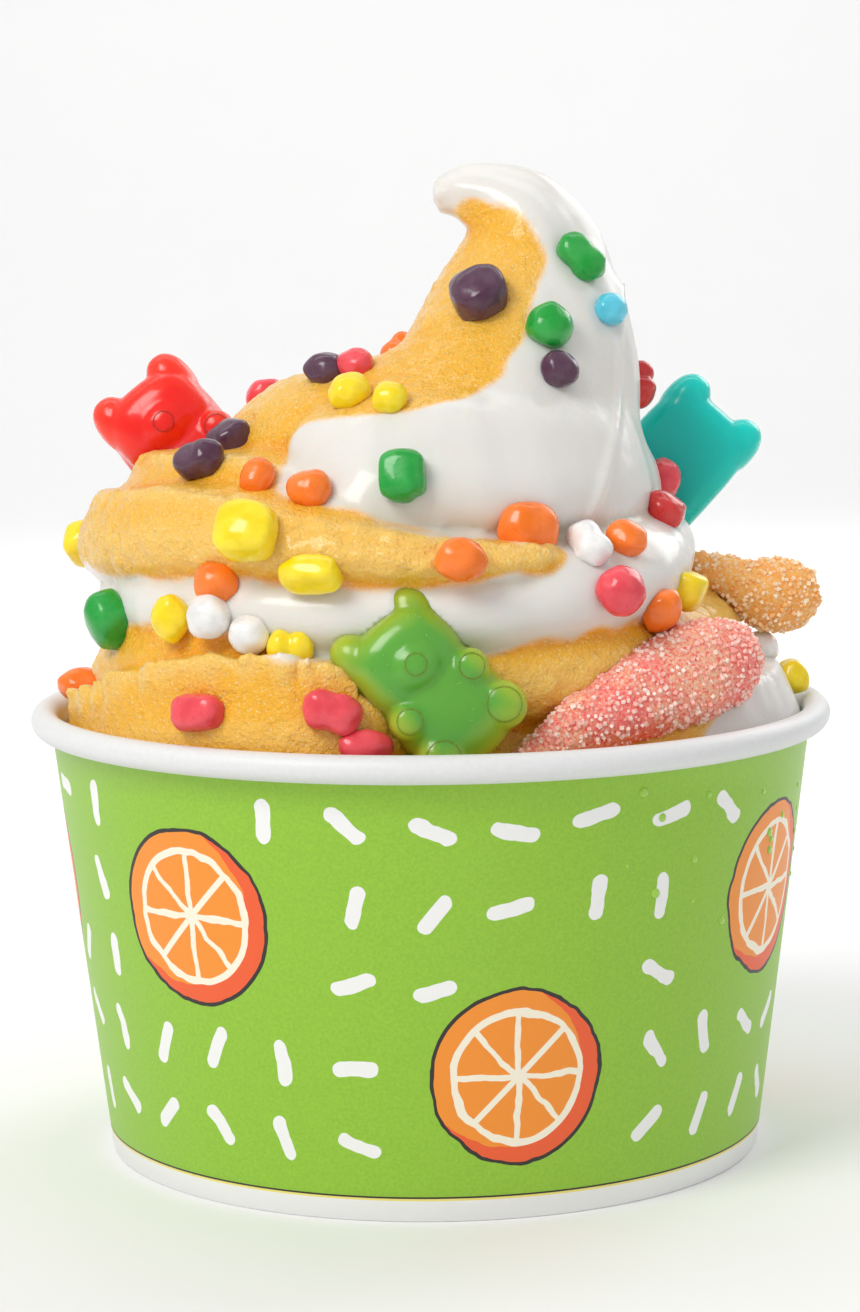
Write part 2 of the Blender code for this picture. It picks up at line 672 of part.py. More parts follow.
def build_bear(name):
    """Builds a gummy bear at its place: rounded head, ears, muzzle, belly, arms and legs on a flat back."""
    centre, turn, lean, spin = BEARS[name]
    shapes = list(BEAR_MIDDLE.values())
    for (x, y, z), half, squared in BEAR_PAIRED.values():
        shapes += [((x, y, z), half, squared), ((-x, y, z), half, squared)]
    parts = []
    for place, half, (across, deep) in shapes:
        bm = bmesh.new()
        bmesh.ops.create_uvsphere(bm, u_segments=BEAR_SEGMENTS, v_segments=BEAR_RINGS, radius=1.0)
        for vertex in bm.verts:
            vertex.co.x = math.copysign(abs(vertex.co.x) ** across, vertex.co.x)
            vertex.co.y = math.copysign(abs(vertex.co.y) ** deep, vertex.co.y)
            vertex.co.z = math.copysign(abs(vertex.co.z) ** across, vertex.co.z)
        bmesh.ops.scale(bm, vec=half, verts=bm.verts)
        bmesh.ops.translate(bm, vec=place, verts=bm.verts)
        for vertex in bm.verts:
            vertex.co.y = min(vertex.co.y, BEAR_BACK)
        parts.append(add_object(name + "_part", bm))
    bear = joined(name, parts, BEAR_VOXEL, BEAR_TRIANGLES, BEAR_SMOOTHING)
    pose = Euler((math.radians(lean), 0.0, 0.0)).to_matrix()
    pose = pose @ Matrix.Rotation(math.radians(turn), 3, "Y") @ Matrix.Rotation(math.radians(spin), 3, "Z")
    bear.data.transform(Matrix.Translation(centre) @ pose.to_4x4())
    return bear


def pebble_mesh(name, centre, outwards, pebble_size, turn):
    """Builds one candy: a few-sided egg, half sunk where it lies."""
    wide, tall = pebble_size
    deep = PEBBLE_DEPTH * min(wide, tall)
    bm = bmesh.new()
    bmesh.ops.create_uvsphere(bm, u_segments=PEBBLE_SEGMENTS, v_segments=PEBBLE_RINGS, radius=0.5)
    bmesh.ops.scale(bm, vec=(wide, tall, deep), verts=bm.verts)
    upright = Vector((0.0, 0.0, 1.0)) - outwards * outwards.z
    upright.normalize()
    frame = Matrix((upright.cross(outwards), upright, outwards)).transposed()
    frame = frame @ Matrix.Rotation(math.radians(turn), 3, "Z")
    place = Matrix.Translation(centre + outwards * PEBBLE_STAND * deep) @ frame.to_4x4()
    bmesh.ops.transform(bm, matrix=place, verts=bm.verts)
    return add_object(name, bm)


def surface_tree(item):
    """Gives a search tree over an object's surface."""
    return BVHTree.FromPolygons([v.co for v in item.data.vertices], [p.vertices for p in item.data.polygons])


def lay_back_pebbles(swirl, strand, laid):
    """Lays a seeded scatter of candies on the back, clear of the ones already laid and of each other."""
    tree = surface_tree(swirl)
    strand_tree = surface_tree(strand)
    draw = random.Random(SCATTER_SEED)
    taken = [sum((v.co for v in p.data.vertices), Vector()) / len(p.data.vertices)
             for pebbles in laid.values() for p in pebbles]
    count = 0
    while count < BACK_PEBBLES:
        azimuth = math.radians(draw.uniform(*BACK_AZIMUTHS))
        height = draw.uniform(BACK_LOW, BACK_HIGH)
        size = (draw.uniform(*BACK_SIZE), draw.uniform(*BACK_SIZE))
        turn = draw.uniform(0.0, 180.0)
        outwards = Vector((math.cos(azimuth), math.sin(azimuth), 0.0))
        start = outwards * FAR_OUT + Vector((0.0, 0.0, height))
        point, normal, _, _ = tree.ray_cast(start, -outwards)
        if point is None or min((point - other).length for other in taken) < BACK_SPACING:
            continue
        near, facing, _, distance = strand_tree.find_nearest(point)
        if distance < BACK_SIZE[0] / 2:
            continue
        own = "orange" if (point - near).dot(facing) < 0 else "white"
        laid[own].append(pebble_mesh("pebble", point, normal, size, turn))
        taken.append(point)
        count += 1


def lay_pebbles(swirl):
    """Lays the candies that show from the front on the swirl, and gives the ones on each strand."""
    tree = surface_tree(swirl)
    laid = {"orange": [], "white": []}
    for pebble in PEBBLES:
        middle = Vector((pebble.across, 0.0, pebble.up))
        point, normal, _, _ = tree.ray_cast(EYE, (middle - EYE).normalized())
        if point is None:
            point, normal, _, _ = tree.find_nearest(middle)
        size = (pebble.wide, pebble.tall)
        laid[pebble.strand].append(pebble_mesh("pebble", point, normal, size, pebble.turn))
    return laid


def build_yogurt(gummies):
    """Builds the two strands of yogurt, with their candies fused on, cut clear of every other piece."""
    white = build_swirl()
    white.name = "yogurt_white"
    strand = build_orange_strand()
    laid = lay_pebbles(white)
    lay_back_pebbles(white, strand, laid)
    orange = copy_of(white, "yogurt_orange")
    combine(white, "DIFFERENCE", [copy_of(strand, "strand_clearance", STRAND_GAP)])
    combine(orange, "INTERSECT", [strand])
    combine(white, "DIFFERENCE", [copy_of(pebble, "candy_clearance", GAP) for pebble in laid["orange"]])
    combine(orange, "UNION", laid["orange"])
    combine(orange, "DIFFERENCE", [copy_of(pebble, "candy_clearance", GAP) for pebble in laid["white"]])
    combine(white, "UNION", laid["white"])
    for item in (orange, white):
        combine(item, "INTERSECT", [free_space()])
        combine(item, "DIFFERENCE", [copy_of(gummy, "gummy_clearance", GAP) for gummy in gummies])
    return [orange, white]


def main():
    """Builds every piece of the cup of frozen yogurt."""
    clear_scene()
    pieces = build_cup()
    gummies = [build_bear(name) for name in BEARS]
    for name, beads in SOUR_GUMMIES.items():
        gummies.append(rope(name, beads, SOUR_STEPS, SOUR_SECTION, flatness=SOUR_FLATNESS))
    pieces += gummies
    pieces += build_yogurt(gummies)
    for piece in pieces:
        finish(piece)


main()
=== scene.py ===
"""Looks of the frozen yogurt cup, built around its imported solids.

Units are metres. Z is up, the viewer of the front stands on the -Y side and +X is to that viewer's right.
Azimuths are in degrees from +X towards +Y. Every piece lies where its solid lies.
"""

import json
import logging
import math
import random
from collections.abc import Callable
from dataclasses import dataclass
from enum import Enum

import bmesh
import bpy
import numpy as np
from mathutils import Euler, Matrix, Quaternion, Vector, noise
from mathutils.bvhtree import BVHTree

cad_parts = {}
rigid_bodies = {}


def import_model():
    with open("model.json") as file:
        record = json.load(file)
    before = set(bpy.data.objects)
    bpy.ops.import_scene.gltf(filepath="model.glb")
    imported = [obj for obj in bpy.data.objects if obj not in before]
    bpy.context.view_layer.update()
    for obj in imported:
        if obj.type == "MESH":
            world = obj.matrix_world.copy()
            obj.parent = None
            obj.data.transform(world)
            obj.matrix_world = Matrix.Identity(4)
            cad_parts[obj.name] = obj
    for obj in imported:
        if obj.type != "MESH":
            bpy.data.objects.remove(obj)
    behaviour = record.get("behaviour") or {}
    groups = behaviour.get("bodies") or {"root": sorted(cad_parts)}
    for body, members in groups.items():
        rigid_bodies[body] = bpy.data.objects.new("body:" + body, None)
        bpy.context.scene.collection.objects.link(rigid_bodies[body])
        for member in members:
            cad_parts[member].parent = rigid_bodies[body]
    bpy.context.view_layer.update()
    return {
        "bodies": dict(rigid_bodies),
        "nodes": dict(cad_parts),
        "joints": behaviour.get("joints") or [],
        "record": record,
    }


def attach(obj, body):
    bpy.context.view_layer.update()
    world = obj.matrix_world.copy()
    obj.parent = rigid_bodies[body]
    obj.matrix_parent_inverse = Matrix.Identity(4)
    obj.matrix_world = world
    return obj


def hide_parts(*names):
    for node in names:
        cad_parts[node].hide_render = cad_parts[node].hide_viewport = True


log = logging.getLogger("frozen_yogurt_cup")

Color = tuple[float, float, float]
Span = tuple[float, float]
Item = bpy.types.Object
Socket = bpy.types.NodeSocket
Graph = float | Socket

BODY = "root"

# Where the front view is taken from, and the camera's own numbers for a frame of 860 by 1312 pixels
EYE = Vector((0.0, -0.4103, 0.1096))
FRAME_HEIGHT = 1312
FOCAL_PIXELS = 3464.0
SENSOR = 36.0
CAMERA_TILT = math.pi / 2 - 0.1249
CAMERA_ROLL = -0.0111

# Paper cup
RIM_RADIUS = 0.0475
ROLL_RADIUS = 0.0016
CUP_HEIGHT = 0.0532
WALL_TOP_RADIUS = 0.0452
FOOT_RADIUS = 0.0389
PAPER = 0.0006
HEM_HEIGHT = 0.0033
FOOT_FOLD = 0.0009
BASE_RECESS = 0.0038
SKIRT_PAPER = 0.0004
ROLL_HEIGHT = CUP_HEIGHT - ROLL_RADIUS
UNDER_ROLL = ROLL_HEIGHT - ROLL_RADIUS

GAP = 0.0003
FILL_GAP = 0.0004
GUMMY_CLEARANCE = -0.00008
WELD = 0.000001


@dataclass(frozen=True)
class Station:
    """One place along a fold of yogurt: azimuth, ring radius, height, radial half width and half height."""

    azimuth: float
    ring: float
    height: float
    reach: float
    rise: float


@dataclass(frozen=True)
class Bead:
    """One place along a rope: its centre and radius."""

    x: float
    y: float
    z: float
    radius: float


class Candy(Enum):
    """The colours that the pebble candies come in."""

    PURPLE = (0.085, 0.024, 0.060)
    PINK = (0.86, 0.060, 0.085)
    RED = (0.66, 0.012, 0.010)
    ORANGE = (1.0, 0.20, 0.002)
    YELLOW = (1.0, 0.76, 0.0)
    GREEN = (0.0, 0.36, 0.035)
    WHITE = (0.88, 0.88, 0.87)
    SKY = (0.10, 0.62, 0.80)


class Form(Enum):
    """The pebble candies' shapes: how far each is pinched at its waist, and how boxy it is."""

    EGG = (0.0, 1.0)
    BOX = (0.0, 0.72)
    KIDNEY = (0.16, 0.88)
    TWIN = (0.30, 0.95)


@dataclass(frozen=True)
class Pebble:
    """One candy: its place across and up on the cup's middle plane, width, height, turn, colour and form."""

    across: float
    up: float
    wide: float
    tall: float
    turn: float
    candy: Candy
    form: Form = Form.EGG


# Folds of the swirl, from the rim up, each with the share by which its crest stands out
FOLDS: dict[str, tuple[float, list[Station]]] = {
    "rim_left": (0.38, [
        Station(150, 0.0330, 0.0430, 0.0105, 0.0085),
        Station(190, 0.0335, 0.0460, 0.0105, 0.0090),
        Station(228, 0.0335, 0.0525, 0.0105, 0.0092),
        Station(252, 0.0330, 0.0535, 0.0100, 0.0092),
        Station(268, 0.0310, 0.0510, 0.0090, 0.0080),
    ]),
    "thin_left": (0.26, [
        Station(175, 0.0298, 0.0565, 0.0100, 0.0055),
        Station(225, 0.0307, 0.0602, 0.0107, 0.0057),
        Station(260, 0.0286, 0.0575, 0.0100, 0.0053),
    ]),
    "middle_white": (0.0, [
        Station(150, 0.0280, 0.0640, 0.0110, 0.0070),
        Station(205, 0.0295, 0.0665, 0.0110, 0.0062),
        Station(240, 0.0290, 0.0672, 0.0112, 0.0062),
        Station(268, 0.0275, 0.0670, 0.0112, 0.0065),
        Station(310, 0.0265, 0.0690, 0.0112, 0.0068),
        Station(350, 0.0210, 0.0710, 0.0110, 0.0070),
        Station(420, 0.0210, 0.0730, 0.0120, 0.0075),
    ]),
    "under_white": (0.0, [
        Station(258, 0.0260, 0.0590, 0.0100, 0.0070),
        Station(300, 0.0265, 0.0600, 0.0110, 0.0075),
        Station(345, 0.0270, 0.0610, 0.0098, 0.0060),
        Station(400, 0.0280, 0.0620, 0.0110, 0.0070),
    ]),
    "orange_lobe": (0.16, [
        Station(120, 0.0275, 0.0715, 0.0110, 0.0070),
        Station(180, 0.0302, 0.0722, 0.0114, 0.0070),
        Station(226, 0.0295, 0.0745, 0.0114, 0.0067),
        Station(254, 0.0292, 0.0738, 0.0110, 0.0046),
        Station(276, 0.0300, 0.0728, 0.0095, 0.0028),
        Station(298, 0.0300, 0.0730, 0.0085, 0.0020),
    ]),
    "upper_left": (0.16, [
        Station(110, 0.0230, 0.0770, 0.0110, 0.0065),
        Station(185, 0.0245, 0.0780, 0.0115, 0.0058),
        Station(225, 0.0228, 0.0787, 0.0113, 0.0057),
        Station(250, 0.0215, 0.0765, 0.0105, 0.0050),
    ]),
    "white_front": (0.0, [
        Station(228, 0.0185, 0.0790, 0.0115, 0.0060),
        Station(262, 0.0210, 0.0800, 0.0128, 0.0068),
        Station(300, 0.0200, 0.0790, 0.0125, 0.0070),
        Station(350, 0.0160, 0.0790, 0.0120, 0.0080),
        Station(420, 0.0150, 0.0790, 0.0120, 0.0080),
    ]),
    "under_peak": (0.0, [
        Station(222, 0.0120, 0.0835, 0.0150, 0.0070),
        Station(255, 0.0135, 0.0838, 0.0165, 0.0085),
        Station(290, 0.0135, 0.0838, 0.0165, 0.0090),
        Station(330, 0.0120, 0.0835, 0.0160, 0.0090),
        Station(360, 0.0100, 0.0830, 0.0140, 0.0080),
    ]),
    "rim_right": (0.10, [
        Station(292, 0.0300, 0.0470, 0.0105, 0.0080),
        Station(335, 0.0335, 0.0490, 0.0108, 0.0100),
        Station(375, 0.0330, 0.0490, 0.0108, 0.0098),
        Station(425, 0.0330, 0.0470, 0.0105, 0.0090),
    ]),
    "rim_back": (0.26, [
        Station(35, 0.0325, 0.0500, 0.0108, 0.0090),
        Station(90, 0.0325, 0.0540, 0.0108, 0.0085),
        Station(150, 0.0300, 0.0580, 0.0108, 0.0075),
        Station(185, 0.0290, 0.0590, 0.0100, 0.0060),
    ]),
    "middle_back": (0.26, [
        Station(0, 0.0235, 0.0640, 0.0105, 0.0065),
        Station(60, 0.0265, 0.0660, 0.0115, 0.0065),
        Station(120, 0.0275, 0.0690, 0.0115, 0.0065),
        Station(170, 0.0285, 0.0710, 0.0115, 0.0065),
    ]),
}
FOLD_STEP = 2.0
FOLD_SIDES = 60
FOLD_END_SIZE = 0.12
FOLD_END_POWER = 8
CREST_ANGLE = 48.0
CREST_WIDTH = 34.0
CREST_POWER = 2.5
CREST_CRUMBLE = 0.55

# How creases are told from crests: by how far the surface moves when it is evened out
HOLLOW_ROUNDS = 38
HOLLOW_SHARE = 0.7
HOLLOW_DEPTH = 0.00045

# The mound under the folds, as radius and height down its outer side
MOUND: list[Span] = [(0.0150, 0.0850), (0.0215, 0.0780), (0.0250, 0.0700), (0.0310, 0.0600), (0.0360, 0.0500)]

# The last rope: from behind, round the left, and up to the peak that folds over to the left
ROPE = [
    Bead(0.0040, 0.0150, 0.0780, 0.0080),
    Bead(-0.0080, 0.0120, 0.0800, 0.0090),
    Bead(-0.0150, 0.0030, 0.0815, 0.0095),
    Bead(-0.0130, -0.0080, 0.0825, 0.0104),
    Bead(-0.0040, -0.0120, 0.0830, 0.0120),
    Bead(0.0060, -0.0090, 0.0850, 0.0147),
    Bead(0.0105, -0.0040, 0.0905, 0.0154),
    Bead(0.0118, -0.0010, 0.0965, 0.0132),
    Bead(0.0122, 0.0, 0.1015, 0.0106),
    Bead(0.0117, 0.0, 0.1060, 0.0091),
    Bead(0.0100, 0.0, 0.1096, 0.0072),
    Bead(0.0072, 0.0, 0.1118, 0.0049),
    Bead(0.0040, 0.0, 0.1126, 0.0033),
    Bead(0.0012, 0.0, 0.1121, 0.0018),
]
ROPE_RIDGES = 5
ROPE_GROOVE = 0.10
ROPE_RIDGE_TURN = -35.0

# The orange flavour's strand: its turns, and the side of the last rope that it takes
ORANGE_TURNS = {
    "long_turn": [
        Station(120, 0.0400, 0.0480, 0.0120, 0.0080),
        Station(180, 0.0420, 0.0530, 0.0130, 0.0110),
        Station(228, 0.0420, 0.0535, 0.0140, 0.0120),
        Station(258, 0.0420, 0.0510, 0.0140, 0.0115),
        Station(300, 0.0410, 0.0535, 0.0130, 0.0122),
        Station(322, 0.0370, 0.0600, 0.0100, 0.0055),
        Station(345, 0.0350, 0.0630, 0.0100, 0.0036),
        Station(420, 0.0340, 0.0650, 0.0120, 0.0060),
        Station(490, 0.0340, 0.0700, 0.0130, 0.0080),
        Station(540, 0.0320, 0.0775, 0.0150, 0.0105),
        Station(570, 0.0310, 0.0800, 0.0150, 0.0125),
        Station(588, 0.0290, 0.0810, 0.0140, 0.0118),
    ],
    "lobe": [
        Station(180, 0.0370, 0.0740, 0.0090, 0.0060),
        Station(218, 0.0370, 0.0762, 0.0090, 0.0060),
        Station(244, 0.0370, 0.0754, 0.0085, 0.0050),
        Station(270, 0.0372, 0.0733, 0.0082, 0.0029),
        Station(298, 0.0375, 0.0735, 0.0070, 0.0017),
    ],
    "left_end": [
        Station(190, 0.0300, 0.0785, 0.0120, 0.0080),
        Station(215, 0.0300, 0.0785, 0.0120, 0.0080),
        Station(238, 0.0290, 0.0780, 0.0120, 0.0068),
    ],
}
ORANGE_ROPE = [
    Bead(-0.0228, -0.0165, 0.0812, 0.0066),
    Bead(-0.0215, -0.0110, 0.0840, 0.0085),
    Bead(-0.0200, 0.0020, 0.0850, 0.0095),
    Bead(-0.0190, -0.0070, 0.0880, 0.0108),
    Bead(-0.0130, -0.0160, 0.0965, 0.0110),
    Bead(-0.0040, -0.0180, 0.0993, 0.0138),
    Bead(-0.0020, -0.0150, 0.1010, 0.0136),
    Bead(0.0012, -0.0110, 0.1028, 0.0120),
    Bead(0.0045, -0.0080, 0.1032, 0.0098),
]

# Pebble candies that show from the front
PEBBLES = [
    Pebble(-0.0118, 0.0917, 0.0050, 0.0042, 0, Candy.PURPLE),
    Pebble(-0.0083, 0.0924, 0.0046, 0.0038, 0, Candy.PINK),
    Pebble(-0.0089, 0.0890, 0.0045, 0.0049, 0, Candy.YELLOW),
    Pebble(-0.0043, 0.0883, 0.0040, 0.0040, 0, Candy.YELLOW),
    Pebble(-0.0266, 0.0814, 0.0060, 0.0048, 20, Candy.PURPLE, Form.KIDNEY),
    Pebble(-0.0231, 0.0836, 0.0047, 0.0045, 0, Candy.PURPLE, Form.BOX),
    Pebble(-0.0200, 0.0793, 0.0039, 0.0046, 0, Candy.ORANGE),
    Pebble(-0.0139, 0.0775, 0.0050, 0.0047, 0, Candy.ORANGE),
    Pebble(-0.0030, 0.0794, 0.0050, 0.0058, 0, Candy.GREEN, Form.BOX),
    Pebble(-0.0211, 0.0728, 0.0067, 0.0064, 0, Candy.YELLOW, Form.BOX),
    Pebble(-0.0138, 0.0686, 0.0066, 0.0041, 0, Candy.YELLOW, Form.BOX),
    Pebble(-0.0249, 0.0673, 0.0051, 0.0049, 0, Candy.ORANGE),
    Pebble(-0.0373, 0.0632, 0.0056, 0.0066, -35, Candy.GREEN, Form.BOX),
    Pebble(-0.0302, 0.0631, 0.0045, 0.0052, 0, Candy.YELLOW),
    Pebble(-0.0258, 0.0632, 0.0050, 0.0050, 0, Candy.WHITE),
    Pebble(-0.0212, 0.0613, 0.0044, 0.0044, 0, Candy.WHITE),
    Pebble(-0.0166, 0.0594, 0.0050, 0.0045, 0, Candy.YELLOW, Form.TWIN),
    Pebble(-0.0412, 0.0568, 0.0060, 0.0050, 30, Candy.ORANGE),
    Pebble(-0.0275, 0.0515, 0.0065, 0.0040, 10, Candy.PINK, Form.BOX),
    Pebble(-0.0118, 0.0514, 0.0064, 0.0048, -15, Candy.PINK, Form.KIDNEY),
    Pebble(-0.0080, 0.0470, 0.0060, 0.0040, -5, Candy.PINK),
    Pebble(0.0037, 0.0694, 0.0055, 0.0047, 0, Candy.ORANGE),
    Pebble(0.0179, 0.1047, 0.0046, 0.0062, 25, Candy.GREEN, Form.KIDNEY),
    Pebble(0.0213, 0.0988, 0.0043, 0.0038, 0, Candy.SKY),
    Pebble(0.0144, 0.0967, 0.0053, 0.0053, 0, Candy.GREEN),
    Pebble(0.0153, 0.0918, 0.0044, 0.0043, 0, Candy.PURPLE),
    Pebble(0.0066, 0.1003, 0.0063, 0.0060, 35, Candy.PURPLE, Form.BOX),
    Pebble(0.0114, 0.0732, 0.0070, 0.0062, -20, Candy.ORANGE),
    Pebble(0.0286, 0.0792, 0.0046, 0.0046, 0, Candy.PINK),
    Pebble(0.0276, 0.0745, 0.0052, 0.0045, 0, Candy.RED, Form.BOX),
    Pebble(0.0232, 0.0712, 0.0045, 0.0046, 0, Candy.ORANGE),
    Pebble(0.0189, 0.0707, 0.0044, 0.0062, 0, Candy.WHITE, Form.KIDNEY),
    Pebble(0.0222, 0.0656, 0.0058, 0.0055, 0, Candy.PINK),
    Pebble(0.0271, 0.0637, 0.0045, 0.0054, 0, Candy.ORANGE),
    Pebble(0.0430, 0.0550, 0.0048, 0.0044, 0, Candy.YELLOW, Form.KIDNEY),
    Pebble(0.0301, 0.0659, 0.0043, 0.0046, 0, Candy.YELLOW, Form.BOX),
    Pebble(0.0394, 0.0584, 0.0046, 0.0042, 0, Candy.WHITE),
]
PEBBLE_DEPTH = 0.85
PEBBLE_STAND = 0.22

# Gummy bears, each with its centre, turn in the front view, lean back and turn about its own length
BEAR_PLACES = {
    "gummy_bear_green": ((0.0003, -0.0376, 0.0590), -41, -4, 8),
    "gummy_bear_red": ((-0.0287, 0.0010, 0.0828), -39, -12, 0),
    "gummy_bear_teal": ((0.0290, 0.0080, 0.0794), 42, 3, 172),
}

# Sour gummies: beads along the tear shape, tail first
SOUR_BEADS = {
    "sour_gummy_pink": [
        Bead(0.0095, -0.0374, 0.0513, 0.0011),
        Bead(0.0135, -0.0360, 0.0530, 0.0024),
        Bead(0.0190, -0.0325, 0.0553, 0.0041),
        Bead(0.0250, -0.0288, 0.0576, 0.0052),
        Bead(0.0300, -0.0252, 0.0592, 0.0055),
        Bead(0.0336, -0.0222, 0.0602, 0.0047),
        Bead(0.0360, -0.0200, 0.0608, 0.0028),
    ],
    "sour_gummy_orange": [
        Bead(0.0302, -0.0010, 0.0694, 0.0011),
        Bead(0.0335, -0.0010, 0.0680, 0.0021),
        Bead(0.0372, -0.0010, 0.0662, 0.0033),
        Bead(0.0408, -0.0010, 0.0652, 0.0045),
        Bead(0.0440, -0.0010, 0.0655, 0.0037),
        Bead(0.0460, -0.0010, 0.0660, 0.0018),
    ],
}
SOUR_FLATNESS = 0.85


class NodeSheet:
    """A material's node tree, and short ways to add to it."""

    def __init__(self, name: str) -> None:
        """Starts a material with one shader.

        Args:
            name: the material's name.
        """
        self.material = bpy.data.materials.new(name)
        self.material.use_nodes = True
        self.tree = self.material.node_tree
        self.shader = self.tree.nodes["Principled BSDF"]
        self.place = self.add("TexCoord").outputs["Object"]

    def feed(self, socket: Socket, value: object) -> None:
        """Links a socket to another one, or sets its own value.

        Args:
            socket: the input to set.
            value: an output socket, a number or a colour.
        """
        if isinstance(value, Socket):
            self.tree.links.new(value, socket)
        elif isinstance(value, tuple) and len(value) == 3 and socket.type == "RGBA":
            socket.default_value = (*value, 1.0)
        else:
            socket.default_value = value

    def add(self, kind: str, inputs: dict | None = None, **settings: object) -> bpy.types.Node:
        """Adds a node.

        Args:
            kind: the node's type, without its ShaderNode prefix.
            inputs: values or sockets for its inputs, by name or number.
            settings: its own settings.

        Returns:
            The new node.
        """
        node = self.tree.nodes.new("ShaderNode" + kind)
        for key, value in settings.items():
            setattr(node, key, value)
        for key, value in (inputs or {}).items():
            self.feed(node.inputs[key], value)
        return node

    def shade(self, **values: object) -> None:
        """Sets the shader's inputs, with an underscore for each space in their names."""
        for key, value in values.items():
            self.feed(self.shader.inputs[key.replace("_", " ")], value)

    def math(self, operation: str, first: Graph, second: Graph = 0.0, third: Graph = 0.0) -> Socket:
        """Adds a Math node and gives its result."""
        return self.add("Math", {0: first, 1: second, 2: third}, operation=operation).outputs[0]

    def plus(self, first: Graph, second: Graph) -> Socket:
        """Adds two values."""
        return self.math("ADD", first, second)

    def minus(self, first: Graph, second: Graph) -> Socket:
        """Takes the second value from the first."""
        return self.math("SUBTRACT", first, second)

    def times(self, first: Graph, *others: Graph) -> Graph:
        """Multiplies values. Of zeros and ones, it gives 1 only where all are 1."""
        for other in others:
            first = self.math("MULTIPLY", first, other)
        return first

    def over(self, value: Graph, limit: Graph) -> Socket:
        """Gives 1 where a value is over a limit, and 0 elsewhere."""
        return self.math("GREATER_THAN", value, limit)

    def under(self, value: Graph, limit: Graph) -> Socket:
        """Gives 1 where a value is under a limit, and 0 elsewhere."""
        return self.math("LESS_THAN", value, limit)

    def length(self, across: Graph, up: Graph) -> Socket:
        """Gives the straight distance for a distance across and one upwards."""
        return self.math("SQRT", self.plus(self.times(across, across), self.times(up, up)))

    def centred(self, value: Graph, reach: float) -> Socket:
        """Stretches a value between 0 and 1 to a reach whose middle is zero."""
        return self.math("MULTIPLY_ADD", value, reach, -reach / 2)

    def spread(self, value: Graph, start: float, end: float, low: float = 0.0, high: float = 1.0) -> Socket:
        """Maps a range of values to another one, held at its ends, and gives the result."""
        return self.add("MapRange", {0: value, 1: start, 2: end, 3: low, 4: high}).outputs[0]

    def vary(self, value: Graph, low: float = 0.0, high: float = 1.0) -> Socket:
        """Maps the values that noise mostly has to another range."""
        return self.spread(value, 0.3, 0.7, low, high)

    def blend(self, share: Graph, low: object, high: object) -> Socket:
        """Mixes two colours by a share and gives the result."""
        return self.add("Mix", {0: share, 6: low, 7: high}, data_type="RGBA").outputs[2]

    def speckle(self, scale: float, detail: float = 2.0, roughness: float = 0.5,
                distortion: float = 0.0) -> Socket:
        """Adds noise over the object and gives its value."""
        inputs = {"Vector": self.place, "Scale": scale, "Detail": detail, "Roughness": roughness,
                  "Distortion": distortion}
        return self.add("TexNoise", inputs).outputs[0]

    def cells(self, scale: float) -> Socket:
        """Adds a cell pattern over the object and gives the distance from each cell's point."""
        return self.add("TexVoronoi", {"Vector": self.place, "Scale": scale}).outputs[0]

    def attribute(self, name: str) -> Socket:
        """Reads one number that the mesh keeps for each point."""
        return self.add("Attribute", attribute_name=name).outputs["Fac"]

    def relief(self, height: Graph, depth: float, under: Socket | None = None,
               strength: Graph = 1.0) -> Socket:
        """Adds fine relief of a depth in metres, over another relief if given, and gives its normal."""
        inputs = {"Height": height, "Distance": depth, "Strength": strength}
        if under is not None:
            inputs["Normal"] = under
        return self.add("Bump", inputs).outputs[0]


